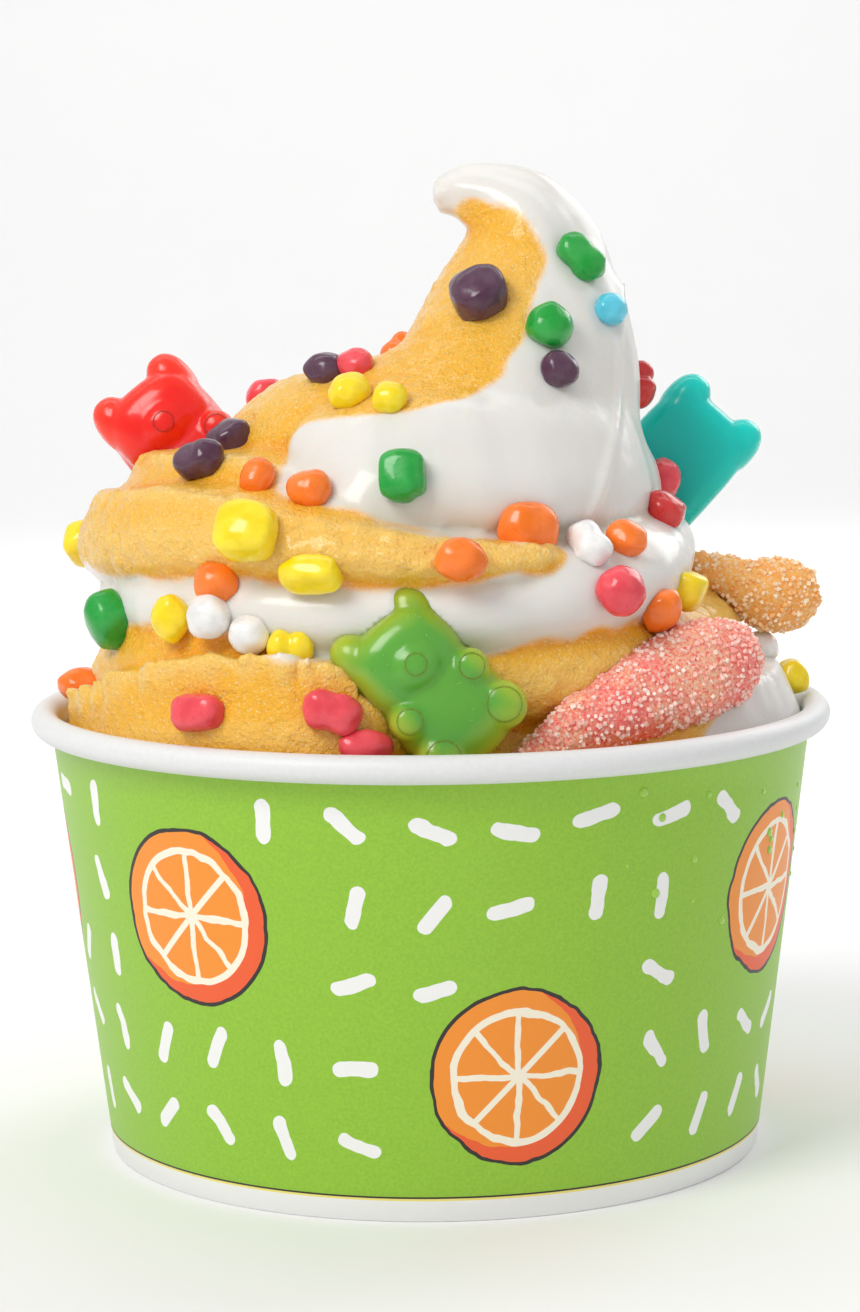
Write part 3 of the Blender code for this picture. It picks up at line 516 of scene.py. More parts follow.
@dataclass(frozen=True)
class YogurtFinish:
    """Two flavours of frozen yogurt, told apart by the mesh's flavour value, with painted light on crests,
    painted shade in creases and painted glints.
    """

    # The pale colour is painted light on the crests, and the deep and crease colours are painted shade in the
    # creases. All three also carry random tone.
    pale_tone_and_painted_crest_light: Color = (1.0, 0.60, 0.13)
    mango: Color = (1.0, 0.505, 0.034)
    deep_tone_and_painted_crease_shade: Color = (1.0, 0.34, 0.006)
    plain: Color = (0.75, 0.735, 0.700)
    plain_tone_and_painted_crease_shade: Color = (0.70, 0.65, 0.56)
    # Painted glints: the pale speck colour and its share stand for sparkles of light on the frozen grains.
    painted_glint: Color = (1.0, 0.86, 0.56)
    painted_glint_share: float = 0.75
    grain_scale: float = 2300.0
    mango_roughness: float = 0.28
    plain_roughness: float = 0.30

    def make(self) -> bpy.types.Material:
        """Makes the material."""
        sheet = NodeSheet("frozen_yogurt")
        flavour = sheet.attribute("flavour")
        hollow = sheet.attribute("hollow")
        grain = sheet.speckle(self.grain_scale, 3.0, 0.65)
        blotch = sheet.speckle(160.0, 3.0)
        # Painted light and shade: the hollowness pales the crests and darkens the creases, with random tone
        # from noise mixed in.
        crease_shade_and_tone = sheet.plus(sheet.plus(hollow, sheet.centred(blotch, 0.30)), sheet.centred(grain, 0.36))
        light = sheet.blend(sheet.spread(crease_shade_and_tone, 0.10, 0.52), self.pale_tone_and_painted_crest_light, self.mango)
        mango = sheet.blend(sheet.spread(crease_shade_and_tone, 0.70, 1.35), light, self.deep_tone_and_painted_crease_shade)
        # Painted glints: pale specks in the colour stand for sparkles of light.
        glint = sheet.times(sheet.spread(sheet.cells(2100.0), 0.26, 0.10), self.painted_glint_share)
        mango = sheet.blend(glint, mango, self.painted_glint)
        # Painted shade: the plain flavour darkens in the creases.
        plain = sheet.blend(sheet.spread(crease_shade_and_tone, 0.45, 1.0), self.plain, self.plain_tone_and_painted_crease_shade)

        def by_flavour(on_plain: float, on_mango: float) -> Socket:
            """Gives one value on the plain flavour and another on the mango one."""
            return sheet.spread(flavour, 0.0, 1.0, on_plain, on_mango)

        rough_grain = sheet.relief(grain, 0.00045, strength=by_flavour(0.04, 1.0))
        facets = sheet.relief(sheet.cells(1500.0), 0.00020, rough_grain, by_flavour(0.0, 0.50))
        normal = sheet.relief(sheet.speckle(900.0), 0.00045, facets, by_flavour(0.10, 0.45))
        sheet.shade(
            Base_Color=sheet.blend(flavour, plain, mango), Normal=normal,
            Roughness=by_flavour(self.plain_roughness, self.mango_roughness),
            Subsurface_Weight=0.35, Subsurface_Radius=(0.0020, 0.0011, 0.0006), Subsurface_Scale=1.0,
            Coat_Weight=by_flavour(0.30, 0.40), Coat_Roughness=0.12, IOR=1.36,
        )
        return sheet.material


@dataclass(frozen=True)
class GummyFinish:
    """Clear coloured gummy, paler towards its outline and on its mould rings: painted light glowing through
    the thin edges and painted highlights on the rings.
    """

    name: str
    color: Color
    # The paler colour is painted light glowing through thin edges, and painted highlights on the mould rings.
    edge: Color
    clearness: float
    roughness: float = 0.18

    def make(self) -> bpy.types.Material:
        """Makes the material."""
        sheet = NodeSheet(self.name)
        cloud = sheet.speckle(160.0, 3.0)
        lines = sheet.speckle(420.0, 3.0, 0.6, 1.5)
        normal = sheet.relief(lines, 0.00012, strength=0.18)
        # Painted light: paler towards the outline and on the rings, with random clouds mixed in.
        pale = sheet.plus(sheet.attribute("edge"), sheet.centred(cloud, 0.5))
        sheet.shade(
            Base_Color=sheet.blend(sheet.spread(pale, 0.15, 0.95), self.color, self.edge),
            Roughness=sheet.vary(lines, self.roughness, self.roughness + 0.10), Normal=normal,
            Transmission_Weight=self.clearness, IOR=1.38,
            Subsurface_Weight=0.7, Subsurface_Radius=(0.0040, 0.0040, 0.0030), Subsurface_Scale=1.0,
            Coat_Weight=0.25, Coat_Roughness=0.12,
        )
        return sheet.material


@dataclass(frozen=True)
class SourFinish:
    """Gummy under sour sugar, with a second colour in clouds and a darker one between the grains."""

    name: str
    color: Color
    cloud: Color
    shade: Color
    frost: Color = (0.95, 0.80, 0.78)

    def make(self) -> bpy.types.Material:
        """Makes the material."""
        sheet = NodeSheet(self.name)
        cloud = sheet.speckle(150.0, 3.0)
        grit = sheet.speckle(2600.0, 3.0, 0.7)
        body = sheet.blend(sheet.spread(cloud, 0.42, 0.62), self.color, self.cloud)
        dark = sheet.blend(sheet.spread(grit, 0.52, 0.36), body, self.shade)
        sheet.shade(
            Base_Color=sheet.blend(sheet.spread(grit, 0.56, 0.70), dark, self.frost),
            Roughness=0.6, Normal=sheet.relief(grit, 0.0004, strength=0.5),
            Subsurface_Weight=0.4, Subsurface_Radius=(0.0025, 0.0012, 0.0010), Subsurface_Scale=1.0,
        )
        return sheet.material


@dataclass(frozen=True)
class SugarFinish:
    """Coarse sugar crystals, tinted by the gummy under them."""

    name: str
    color: Color
    pale: Color

    def make(self) -> bpy.types.Material:
        """Makes the material."""
        sheet = NodeSheet(self.name)
        tint = sheet.speckle(700.0, 1.0)
        sheet.shade(
            Base_Color=sheet.blend(sheet.spread(tint, 0.42, 0.60), self.color, self.pale),
            Roughness=sheet.vary(tint, 0.25, 0.50), IOR=1.42,
        )
        return sheet.material


@dataclass(frozen=True)
class CandyFinish:
    """Polished candy shell with a slightly uneven colour."""

    candy: Candy

    def make(self) -> bpy.types.Material:
        """Makes the material."""
        sheet = NodeSheet("candy_" + self.candy.name.lower())
        color = self.candy.value
        pale = tuple(c + (1.0 - c) * 0.03 for c in color)
        deep = tuple(c * 0.86 for c in color)
        cloud = sheet.speckle(420.0, 3.0)
        dimple = sheet.speckle(700.0, 2.0)
        sheet.shade(
            Base_Color=sheet.blend(sheet.spread(cloud, 0.35, 0.66), deep, pale),
            Roughness=sheet.vary(cloud, 0.20, 0.34),
            Normal=sheet.relief(dimple, 0.00025, strength=0.25),
            Subsurface_Weight=0.06, Subsurface_Radius=(0.0010, 0.0006, 0.0004), Subsurface_Scale=1.0,
            Coat_Weight=0.35, Coat_Roughness=0.06, IOR=1.40,
        )
        return sheet.material


@dataclass(frozen=True)
class PaperFinish:
    """Coated white paper with fine fibres."""

    name: str = "white_paper"
    color: Color = (0.77, 0.78, 0.78)

    def make(self) -> bpy.types.Material:
        """Makes the material."""
        sheet = NodeSheet(self.name)
        fibre = sheet.speckle(1800.0, 4.0, 0.6)
        dusk = tuple(c * 0.95 for c in self.color)
        sheet.shade(
            Base_Color=sheet.blend(sheet.vary(fibre), dusk, self.color),
            Roughness=sheet.vary(fibre, 0.38, 0.52),
            Normal=sheet.relief(fibre, 0.00008, strength=0.5),
            Subsurface_Weight=0.08, Subsurface_Radius=(0.001, 0.001, 0.001), Subsurface_Scale=1.0,
        )
        return sheet.material


@dataclass(frozen=True)
class PrintFinish:
    """The cup's print: citrus slices and short dashes on green, over a white foot with two thin lines."""

    green: Color = (0.300, 0.560, 0.030)
    deep_green: Color = (0.250, 0.500, 0.026)
    orange: Color = (0.90, 0.28, 0.018)
    red_orange: Color = (0.85, 0.105, 0.020)
    cream: Color = (0.93, 0.86, 0.70)
    ink: Color = (0.020, 0.016, 0.012)
    white: Color = (0.88, 0.88, 0.87)
    yellow: Color = (0.88, 0.75, 0.20)
    middle_radius: float = 0.0425
    slices_around: int = 7
    slice_low: float = 0.0165
    slice_high: float = 0.0335
    slice_radius: float = 0.0098
    slice_outline: float = 0.00045
    rind_shift: Span = (0.0016, 0.0012)
    rind_depth: float = 0.0006
    pith_depth: float = 0.0019
    flesh_depth: float = 0.0027
    spoke_width: float = 0.00045
    slice_clearance: float = 0.0042
    sectors: int = 8
    dashes_around: int = 30
    dash_rows: int = 5
    dash_foot: float = 0.0048
    dash_half_length: float = 0.20
    dash_half_width: float = 0.095
    dash_centres: Span = (0.42, 0.58)
    foot_line: float = 0.00295
    yellow_line: float = 0.00026
    ink_line: float = 0.00022
    unevenness: float = 0.0012

    def make(self) -> bpy.types.Material:
        """Makes the material."""
        sheet = NodeSheet("printed_paper")
        axes = sheet.add("SeparateXYZ", {0: sheet.place}).outputs
        turn = sheet.math("ARCTAN2", axes[1], axes[0])
        wobble = sheet.centred(sheet.speckle(260.0), self.unevenness)
        along = sheet.math("MULTIPLY_ADD", turn, self.middle_radius, wobble)
        up = sheet.plus(axes[2], wobble)
        fibre = sheet.speckle(2600.0, 3.0, 0.6)
        field = sheet.blend(sheet.spread(fibre, 0.35, 0.65), self.deep_green, self.green)
        color = self.draw_slices(sheet, along, up, self.draw_dashes(sheet, along, up, field))
        ink_foot = self.foot_line - self.ink_line
        lines = sheet.blend(sheet.over(axes[2], ink_foot), self.yellow, self.ink)
        lines = sheet.blend(sheet.over(axes[2], ink_foot - self.yellow_line), self.white, lines)
        sheet.shade(
            Base_Color=sheet.blend(sheet.over(axes[2], self.foot_line), lines, color),
            Roughness=sheet.vary(fibre, 0.40, 0.52),
            Normal=sheet.relief(fibre, 0.00006, strength=0.5), Coat_Weight=0.15, Coat_Roughness=0.30,
        )
        return sheet.material

    def draw_dashes(self, sheet: NodeSheet, along: Socket, up: Socket, field: Socket) -> Socket:
        """Draws short white dashes at varied turns, one to a cell.

        Args:
            sheet: the material's node sheet.
            along: distance round the wall.
            up: height on the wall.
            field: the colour under the dashes.

        Returns:
            The colour with dashes.
        """
        cell = math.tau * self.middle_radius / self.dashes_around
        column = sheet.math("DIVIDE", along, cell)
        row = sheet.math("DIVIDE", sheet.minus(up, self.dash_foot), cell)
        left_edge, lower_edge = sheet.math("FLOOR", column), sheet.math("FLOOR", row)
        cell_along = sheet.times(sheet.plus(left_edge, 0.5), cell)
        cell_up = sheet.math("MULTIPLY_ADD", sheet.plus(lower_edge, 0.5), cell, self.dash_foot)
        _, _, clear = self.from_slice(sheet, cell_along, cell_up)
        spot = sheet.add("CombineXYZ", {0: left_edge, 1: lower_edge}).outputs[0]
        draw = sheet.add("TexWhiteNoise", {0: spot}, noise_dimensions="3D").outputs[1]
        chance = sheet.add("SeparateColor", {0: draw}).outputs
        turn = sheet.times(chance[0], math.tau)
        middle = [sheet.spread(share, 0.0, 1.0, *self.dash_centres) for share in chance[1:3]]
        across = sheet.minus(sheet.math("FRACT", column), middle[0])
        rise = sheet.minus(sheet.math("FRACT", row), middle[1])
        cosine, sine = sheet.math("COSINE", turn), sheet.math("SINE", turn)
        run = sheet.plus(sheet.times(across, cosine), sheet.times(rise, sine))
        side = sheet.minus(sheet.times(rise, cosine), sheet.times(across, sine))
        past_end = sheet.math("MAXIMUM", sheet.minus(sheet.math("ABSOLUTE", run), self.dash_half_length), 0.0)
        dash = sheet.times(
            sheet.under(sheet.length(past_end, side), self.dash_half_width),
            sheet.over(clear, self.slice_radius + self.slice_clearance),
            sheet.over(row, 0.0),
            sheet.under(row, float(self.dash_rows)),
        )
        return sheet.blend(dash, field, self.white)

    def from_slice(self, sheet: NodeSheet, along: Socket, up: Socket) -> tuple[Socket, Socket, Socket]:
        """Measures from the nearest slice's centre: across, upwards and straight.

        Args:
            sheet: the material's node sheet.
            along: distance round the wall.
            up: height on the wall.

        Returns:
            The three distances.
        """
        pitch = math.tau * self.middle_radius / self.slices_around
        column = sheet.math("DIVIDE", along, pitch)
        across = sheet.centred(sheet.math("FRACT", column), pitch)
        number = sheet.math("ABSOLUTE", sheet.math("FLOOR", column))
        number = sheet.math("MINIMUM", number, self.slices_around // 2)
        parity = sheet.math("MODULO", number, 2.0)
        rise = sheet.minus(up, sheet.spread(parity, 0.0, 1.0, self.slice_low, self.slice_high))
        return across, rise, sheet.length(across, rise)

    def draw_slices(self, sheet: NodeSheet, along: Socket, up: Socket, field: Socket) -> Socket:
        """Draws citrus slices round the wall, high and low by turns.

        Args:
            sheet: the material's node sheet.
            along: distance round the wall.
            up: height on the wall.
            field: the colour under the slices.

        Returns:
            The colour with slices.
        """
        across, rise, away = self.from_slice(sheet, along, up)
        shift_across, shift_up = self.rind_shift
        off_centre = sheet.length(sheet.plus(across, shift_across), sheet.minus(rise, shift_up))
        turn = sheet.math("ARCTAN2", rise, across)
        sector = sheet.math("FRACT", sheet.math("MULTIPLY_ADD", turn, self.sectors / math.tau, 0.5))
        beside = sheet.times(sheet.math("ABSOLUTE", sheet.minus(sector, 0.5)), away)
        spokes = sheet.under(beside, self.spoke_width)
        inside = sheet.under(away, self.slice_radius)
        color = sheet.blend(sheet.under(away, self.slice_radius + self.slice_outline), field, self.ink)
        color = sheet.blend(inside, color, self.red_orange)
        rind = sheet.times(sheet.under(off_centre, self.slice_radius - self.rind_depth), inside)
        color = sheet.blend(rind, color, self.orange)
        color = sheet.blend(sheet.under(away, self.slice_radius - self.pith_depth), color, self.cream)
        flesh = sheet.blend(spokes, self.orange, self.cream)
        return sheet.blend(sheet.under(away, self.slice_radius - self.flesh_depth), color, flesh)


@dataclass(frozen=True)
class FloorFinish:
    """Plain pale studio floor."""

    color: Color = (0.86, 0.86, 0.86)

    def make(self) -> bpy.types.Material:
        """Makes the material."""
        sheet = NodeSheet("pale_floor")
        mottle = sheet.speckle(30.0, 3.0)
        dusk = tuple(c * 0.985 for c in self.color)
        sheet.shade(Base_Color=sheet.blend(mottle, dusk, self.color), Roughness=0.7, Specular_IOR_Level=0.2)
        return sheet.material


def add_object(name: str, bm: bmesh.types.BMesh, smooth: bool = True) -> Item:
    """Makes an object from a bmesh, which is freed.

    Args:
        name: the object's name.
        bm: its mesh.
        smooth: whether its faces are shaded smooth.

    Returns:
        The object, in the scene.
    """
    mesh = bpy.data.meshes.new(name)
    bm.to_mesh(mesh)
    bm.free()
    if smooth:
        mesh.shade_smooth()
    item = bpy.data.objects.new(name, mesh)
    bpy.context.scene.collection.objects.link(item)
    return item


def bake(item: Item) -> None:
    """Turns an object's modifiers into its mesh."""
    depsgraph = bpy.context.evaluated_depsgraph_get()
    baked = bpy.data.meshes.new_from_object(item.evaluated_get(depsgraph))
    spent = item.data
    item.modifiers.clear()
    item.data = baked
    bpy.data.meshes.remove(spent)


def remesh(item: Item, voxel: float, smoothing: int) -> None:
    """Joins an object's overlapping closed parts into one even, softened surface."""
    modifier = item.modifiers.new("Remesh", "REMESH")
    modifier.mode = "VOXEL"
    modifier.voxel_size = voxel
    relax = item.modifiers.new("Smooth", "SMOOTH")
    relax.factor = 0.5
    relax.iterations = smoothing
    bake(item)
    item.data.shade_smooth()


def dress(item: Item, material: bpy.types.Material, slot: str, *nodes: str) -> None:
    """Gives a piece its material and place in the part.

    Args:
        item: the piece.
        material: its material.
        slot: the record's material slot; not used.
        nodes: the solids that it stands for.
    """
    item.data.materials.clear()
    item.data.materials.append(material)
    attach(item, BODY)
    if nodes:
        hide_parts(*nodes)
    triangles = sum(len(p.vertices) - 2 for p in item.data.polygons)
    log.info("%s: %d triangles", item.name, triangles)


def smooth_path(values: list[tuple[float, ...]], steps: int) -> np.ndarray:
    """Reads evenly spaced rows from a smooth curve through the given rows.

    Args:
        values: the rows that the curve goes through.
        steps: how many rows to read.

    Returns:
        The rows on the curve.
    """
    rows = np.array(values, dtype=float)
    padded = np.vstack([2 * rows[0] - rows[1], rows, 2 * rows[-1] - rows[-2]])
    result = []
    for place in np.linspace(0.0, len(rows) - 1.0, steps):
        start = min(int(place), len(rows) - 2)
        t = place - start
        before, here, after, beyond = padded[start:start + 4]
        result.append(
            0.5 * (2 * here + (after - before) * t + (2 * before - 5 * here + 4 * after - beyond) * t ** 2
                   + (3 * here - before - 3 * after + beyond) * t ** 3)
        )
    return np.array(result)


def roll_up(bm: bmesh.types.BMesh, along: int, around: int, place: Callable[[int, int], Vector]) -> None:
    """Rolls a flat grid into a closed tube with filled ends.

    Args:
        bm: the bmesh that gets the tube.
        along: faces along the tube.
        around: faces around it.
        place: gives the point at a step along and a step around.
    """
    grid = bmesh.ops.create_grid(bm, x_segments=along, y_segments=around, size=1.0)["verts"]
    for vertex in grid:
        step = round((vertex.co.x + 1) / 2 * along)
        turn = round((vertex.co.y + 1) / 2 * around)
        vertex.co = place(step, turn % around)
    bmesh.ops.remove_doubles(bm, verts=grid, dist=WELD)
    ends = [e for e in bm.edges if e.is_boundary]
    bmesh.ops.holes_fill(bm, edges=ends, sides=0)
    bmesh.ops.recalc_face_normals(bm, faces=bm.faces)


def turned(bm: bmesh.types.BMesh, profile: list[Span], steps: int) -> None:
    """Turns a closed profile of radius and height about the upright axis.

    Args:
        bm: the bmesh that gets the turned shape.
        profile: its corners.
        steps: faces around it.
    """
    corners = [bm.verts.new((radius, 0.0, height)) for radius, height in profile]
    edges = [bm.edges.new((corners[i], corners[i - 1])) for i in range(len(corners))]
    edges = [e for e in edges if not all(abs(v.co.x) < WELD for v in e.verts)]
    bmesh.ops.spin(
        bm, geom=corners + edges, cent=(0, 0, 0), axis=(0, 0, 1), angle=math.tau, steps=steps, use_merge=True,
    )
    bmesh.ops.remove_doubles(bm, verts=bm.verts, dist=WELD)
    loose = [e for e in bm.edges if not e.link_faces]
    bmesh.ops.delete(bm, geom=loose, context="EDGES")
    bmesh.ops.recalc_face_normals(bm, faces=bm.faces)


def add_fold(bm: bmesh.types.BMesh, stations: list[Station], crest: float = 0.0) -> None:
    """Adds one fold of yogurt: a swept rounded section with an uneven crest along its upper outer side.

    Args:
        bm: the bmesh that gets the fold.
        stations: places along it.
        crest: the share by which its crest stands out.
    """
    along = round((stations[-1].azimuth - stations[0].azimuth) / FOLD_STEP)
    rows = smooth_path([(s.azimuth, s.ring, s.height, s.reach, s.rise) for s in stations], along + 1)

    def place(step: int, turn: int) -> Vector:
        """Gives a point of the fold."""
        azimuth, ring, height, reach, rise = rows[step]
        size = max(FOLD_END_SIZE, (1 - abs(2 * step / along - 1) ** FOLD_END_POWER) ** 0.5)
        angle = 360.0 * turn / FOLD_SIDES
        near_crest = max(0.0, 1 - abs(angle - CREST_ANGLE) / CREST_WIDTH)
        torn = noise.noise(Vector((azimuth * 0.9, ring * 400, height * 300)))
        bulge = 1 + crest * near_crest ** CREST_POWER * (1 + CREST_CRUMBLE * torn)
        radial = ring + size * reach * bulge * math.cos(math.radians(angle))
        upwards = height + size * rise * bulge * math.sin(math.radians(angle))
        turn_to = math.radians(azimuth)
        return Vector((radial * math.cos(turn_to), radial * math.sin(turn_to), upwards))

    roll_up(bm, along, FOLD_SIDES, place)


def add_rope(bm: bmesh.types.BMesh, beads: list[Bead], along: int, around: int, ridges: int = 0,
             flatness: float = 1.0) -> None:
    """Adds a tube through beads, with rounded ends and, if wanted, ridges along it.

    Args:
        bm: the bmesh that gets the rope.
        beads: places along it.
        along: faces along it.
        around: faces around it.
        ridges: half the number of grooves around it.
        flatness: its depth towards the viewer, as a share of its height.
    """
    rows = smooth_path([(b.x, b.y, b.z, b.radius) for b in beads], along + 1)
    frames = []
    side = Vector((0.0, -1.0, 0.0))
    for index in range(along + 1):
        step = Vector(rows[min(index + 1, along)][:3] - rows[max(index - 1, 0)][:3]).normalized()
        side = (side - step * side.dot(step)).normalized()
        frames.append((side.copy(), step.cross(side)))

    def place(step: int, turn: int) -> Vector:
        """Gives a point of the rope."""
        angle = math.tau * turn / around
        groove = 1.0
        if ridges:
            phase = (math.degrees(angle) - ROPE_RIDGE_TURN) * ridges / 2
            groove = 1 - ROPE_GROOVE * abs(math.sin(math.radians(phase)))
        front, over = frames[step]
        offset = front * math.cos(angle) * flatness + over * math.sin(angle)
        return Vector(rows[step][:3]) + offset * rows[step][3] * groove

    roll_up(bm, along, around, place)


def surface_tree(item: Item) -> BVHTree:
    """Gives a search tree over an object's surface."""
    return BVHTree.FromPolygons([v.co for v in item.data.vertices], [p.vertices for p in item.data.polygons])


def cut(item: Item, others: list[Item], clearance: float) -> None:
    """Cuts room for other pieces out of an object.

    Args:
        item: the object to cut.
        others: the pieces that need room, which stay.
        clearance: the gap left around them.
    """
    group = bpy.data.collections.new("room")
    for other in others:
        twin = bpy.data.objects.new(other.name + "_room", other.data.copy())
        group.objects.link(twin)
        bpy.context.scene.collection.objects.link(twin)
        swell = twin.modifiers.new("Displace", "DISPLACE")
        swell.strength = clearance
        swell.mid_level = 0.0
    boolean = item.modifiers.new("Boolean", "BOOLEAN")
    boolean.operation = "DIFFERENCE"
    boolean.solver = "MANIFOLD"
    boolean.operand_type = "COLLECTION"
    boolean.collection = group
    bake(item)
    for twin in list(group.objects):
        bpy.data.objects.remove(twin, do_unlink=True)
    bpy.data.collections.remove(group)


@dataclass
class PaperCup:
    """The paper cup: its side wall with a rolled rim and a turned-in hem, its base, and a few droplets."""

    segments: int = 240
    roll_steps: int = 26
    side_steps: int = 12
    roll_start: float = -115.0
    roll_turn: float = 295.0
    cut_edge: float = 0.00015
    seam_azimuth: float = 96.0
    seam_width: float = 5.5
    seam_step: float = 0.00025
    droplets: int = 22
    droplet_azimuths: Span = (-62.0, 12.0)
    droplet_heights: Span = (0.030, 0.048)
    droplet_sizes: Span = (0.00025, 0.00062)
    droplet_flatness: float = 0.45
    # The drops' colour is a painted refraction: the green print as seen through clear water.
    droplet_painted_print_refraction: Color = (0.34, 0.62, 0.06)

    def wall_radius(self, height: float) -> float:
        """Gives the outer radius of the side wall at a height."""
        return FOOT_RADIUS + (WALL_TOP_RADIUS - FOOT_RADIUS) * height / ROLL_HEIGHT

    def inner_radius(self, height: float) -> float:
        """Gives the inner radius of the side wall at a height."""
        return self.wall_radius(height) - PAPER

    def wall_profile(self) -> list[Span]:
        """Gives the wall's section, from the hem's foot round the outside and back down the inside."""
        roll_centre = RIM_RADIUS - ROLL_RADIUS
        roll = []
        for step in range(self.roll_steps + 1):
            angle = math.radians(self.roll_start + self.roll_turn * step / self.roll_steps)
            out, rise = ROLL_RADIUS * math.cos(angle), ROLL_RADIUS * math.sin(angle)
            roll.append((roll_centre + out, ROLL_HEIGHT + rise))
        hem_outer = self.inner_radius(FOOT_FOLD) - GAP - SKIRT_PAPER - GAP
        hem_inner = hem_outer - PAPER
        edge = self.cut_edge
        heights = [edge + (UNDER_ROLL - edge) * step / self.side_steps for step in range(self.side_steps + 1)]
        side = [(self.wall_radius(height), height) for height in heights]
        return [
            (hem_inner, edge),
            (hem_inner + edge, 0.0),
            (FOOT_RADIUS - edge, 0.0),
            *side,
            *roll,
            (self.inner_radius(UNDER_ROLL), UNDER_ROLL),
            (self.inner_radius(FOOT_FOLD), FOOT_FOLD),
            (hem_outer, FOOT_FOLD),
            (hem_outer, HEM_HEIGHT),
            (hem_inner, HEM_HEIGHT),
        ]

    def on_outside(self, place: Vector) -> bool:
        """Tells whether a place is on the outside of the side wall's paper."""
        return math.hypot(place.x, place.y) > self.wall_radius(place.z) - PAPER / 2

    def build_wall(self) -> None:
        """Builds the wall, with white paper on its rim and inside and the print on its outer side."""
        bm = bmesh.new()
        turned(bm, self.wall_profile(), self.segments)
        for vertex in bm.verts:
            azimuth = math.degrees(math.atan2(vertex.co.y, vertex.co.x))
            share = (azimuth - self.seam_azimuth) / self.seam_width
            below_roll = vertex.co.z < UNDER_ROLL + ROLL_RADIUS / 2
            if 0 <= share <= 1 and below_roll and self.on_outside(vertex.co):
                outwards = Vector((vertex.co.x, vertex.co.y, 0.0)).normalized()
                vertex.co += outwards * self.seam_step * (1 - share)
        wall = add_object("cup_wall_paper", bm)
        dress(wall, PaperFinish().make(), "cup_wall", "cup_wall")
        wall.data.materials.append(PrintFinish().make())
        for face in wall.data.polygons:
            centre = face.center
            faces_out = face.normal.x * centre.x + face.normal.y * centre.y > 0
            face.material_index = int(faces_out and self.on_outside(centre) and centre.z < UNDER_ROLL)
        wall.data.set_sharp_from_angle(angle=math.radians(50))

    def build_droplets(self) -> None:
        """Builds a few droplets of condensation on the wall's upper right side."""
        draw = random.Random(11)
        bm = bmesh.new()
        for _ in range(self.droplets):
            azimuth = math.radians(draw.uniform(*self.droplet_azimuths))
            height = draw.uniform(*self.droplet_heights)
            size = draw.uniform(*self.droplet_sizes)
            radius = self.wall_radius(height)
            outwards = Vector((math.cos(azimuth), math.sin(azimuth), 0.0))
            frame = outwards.to_track_quat("Z", "Y").to_matrix().to_4x4()
            shape = Matrix.Diagonal((size, size, size * self.droplet_flatness, 1.0))
            where = Matrix.Translation(outwards * radius + Vector((0.0, 0.0, height)))
            bmesh.ops.create_icosphere(bm, subdivisions=2, radius=1.0, matrix=where @ frame @ shape)
        drops = add_object("cup_droplets", bm)
        sheet = NodeSheet("water")
        ripple = sheet.speckle(900.0)
        # Painted refraction: the drops take the print's green in place of showing it through clear water.
        sheet.shade(
            Base_Color=self.droplet_painted_print_refraction, Roughness=sheet.vary(ripple, 0.04, 0.10),
            Coat_Weight=1.0, Coat_Roughness=0.02, IOR=1.33,
        )
        dress(drops, sheet.material, "cup_wall")

    def build(self, nodes: dict[str, Item]) -> None:
        """Builds the cup.

        Args:
            nodes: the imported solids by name.
        """
        self.build_wall()
        self.build_droplets()
        base = nodes["cup_base"]
        base.data.materials.clear()
        base.data.materials.append(PaperFinish("base_paper", (0.84, 0.85, 0.84)).make())


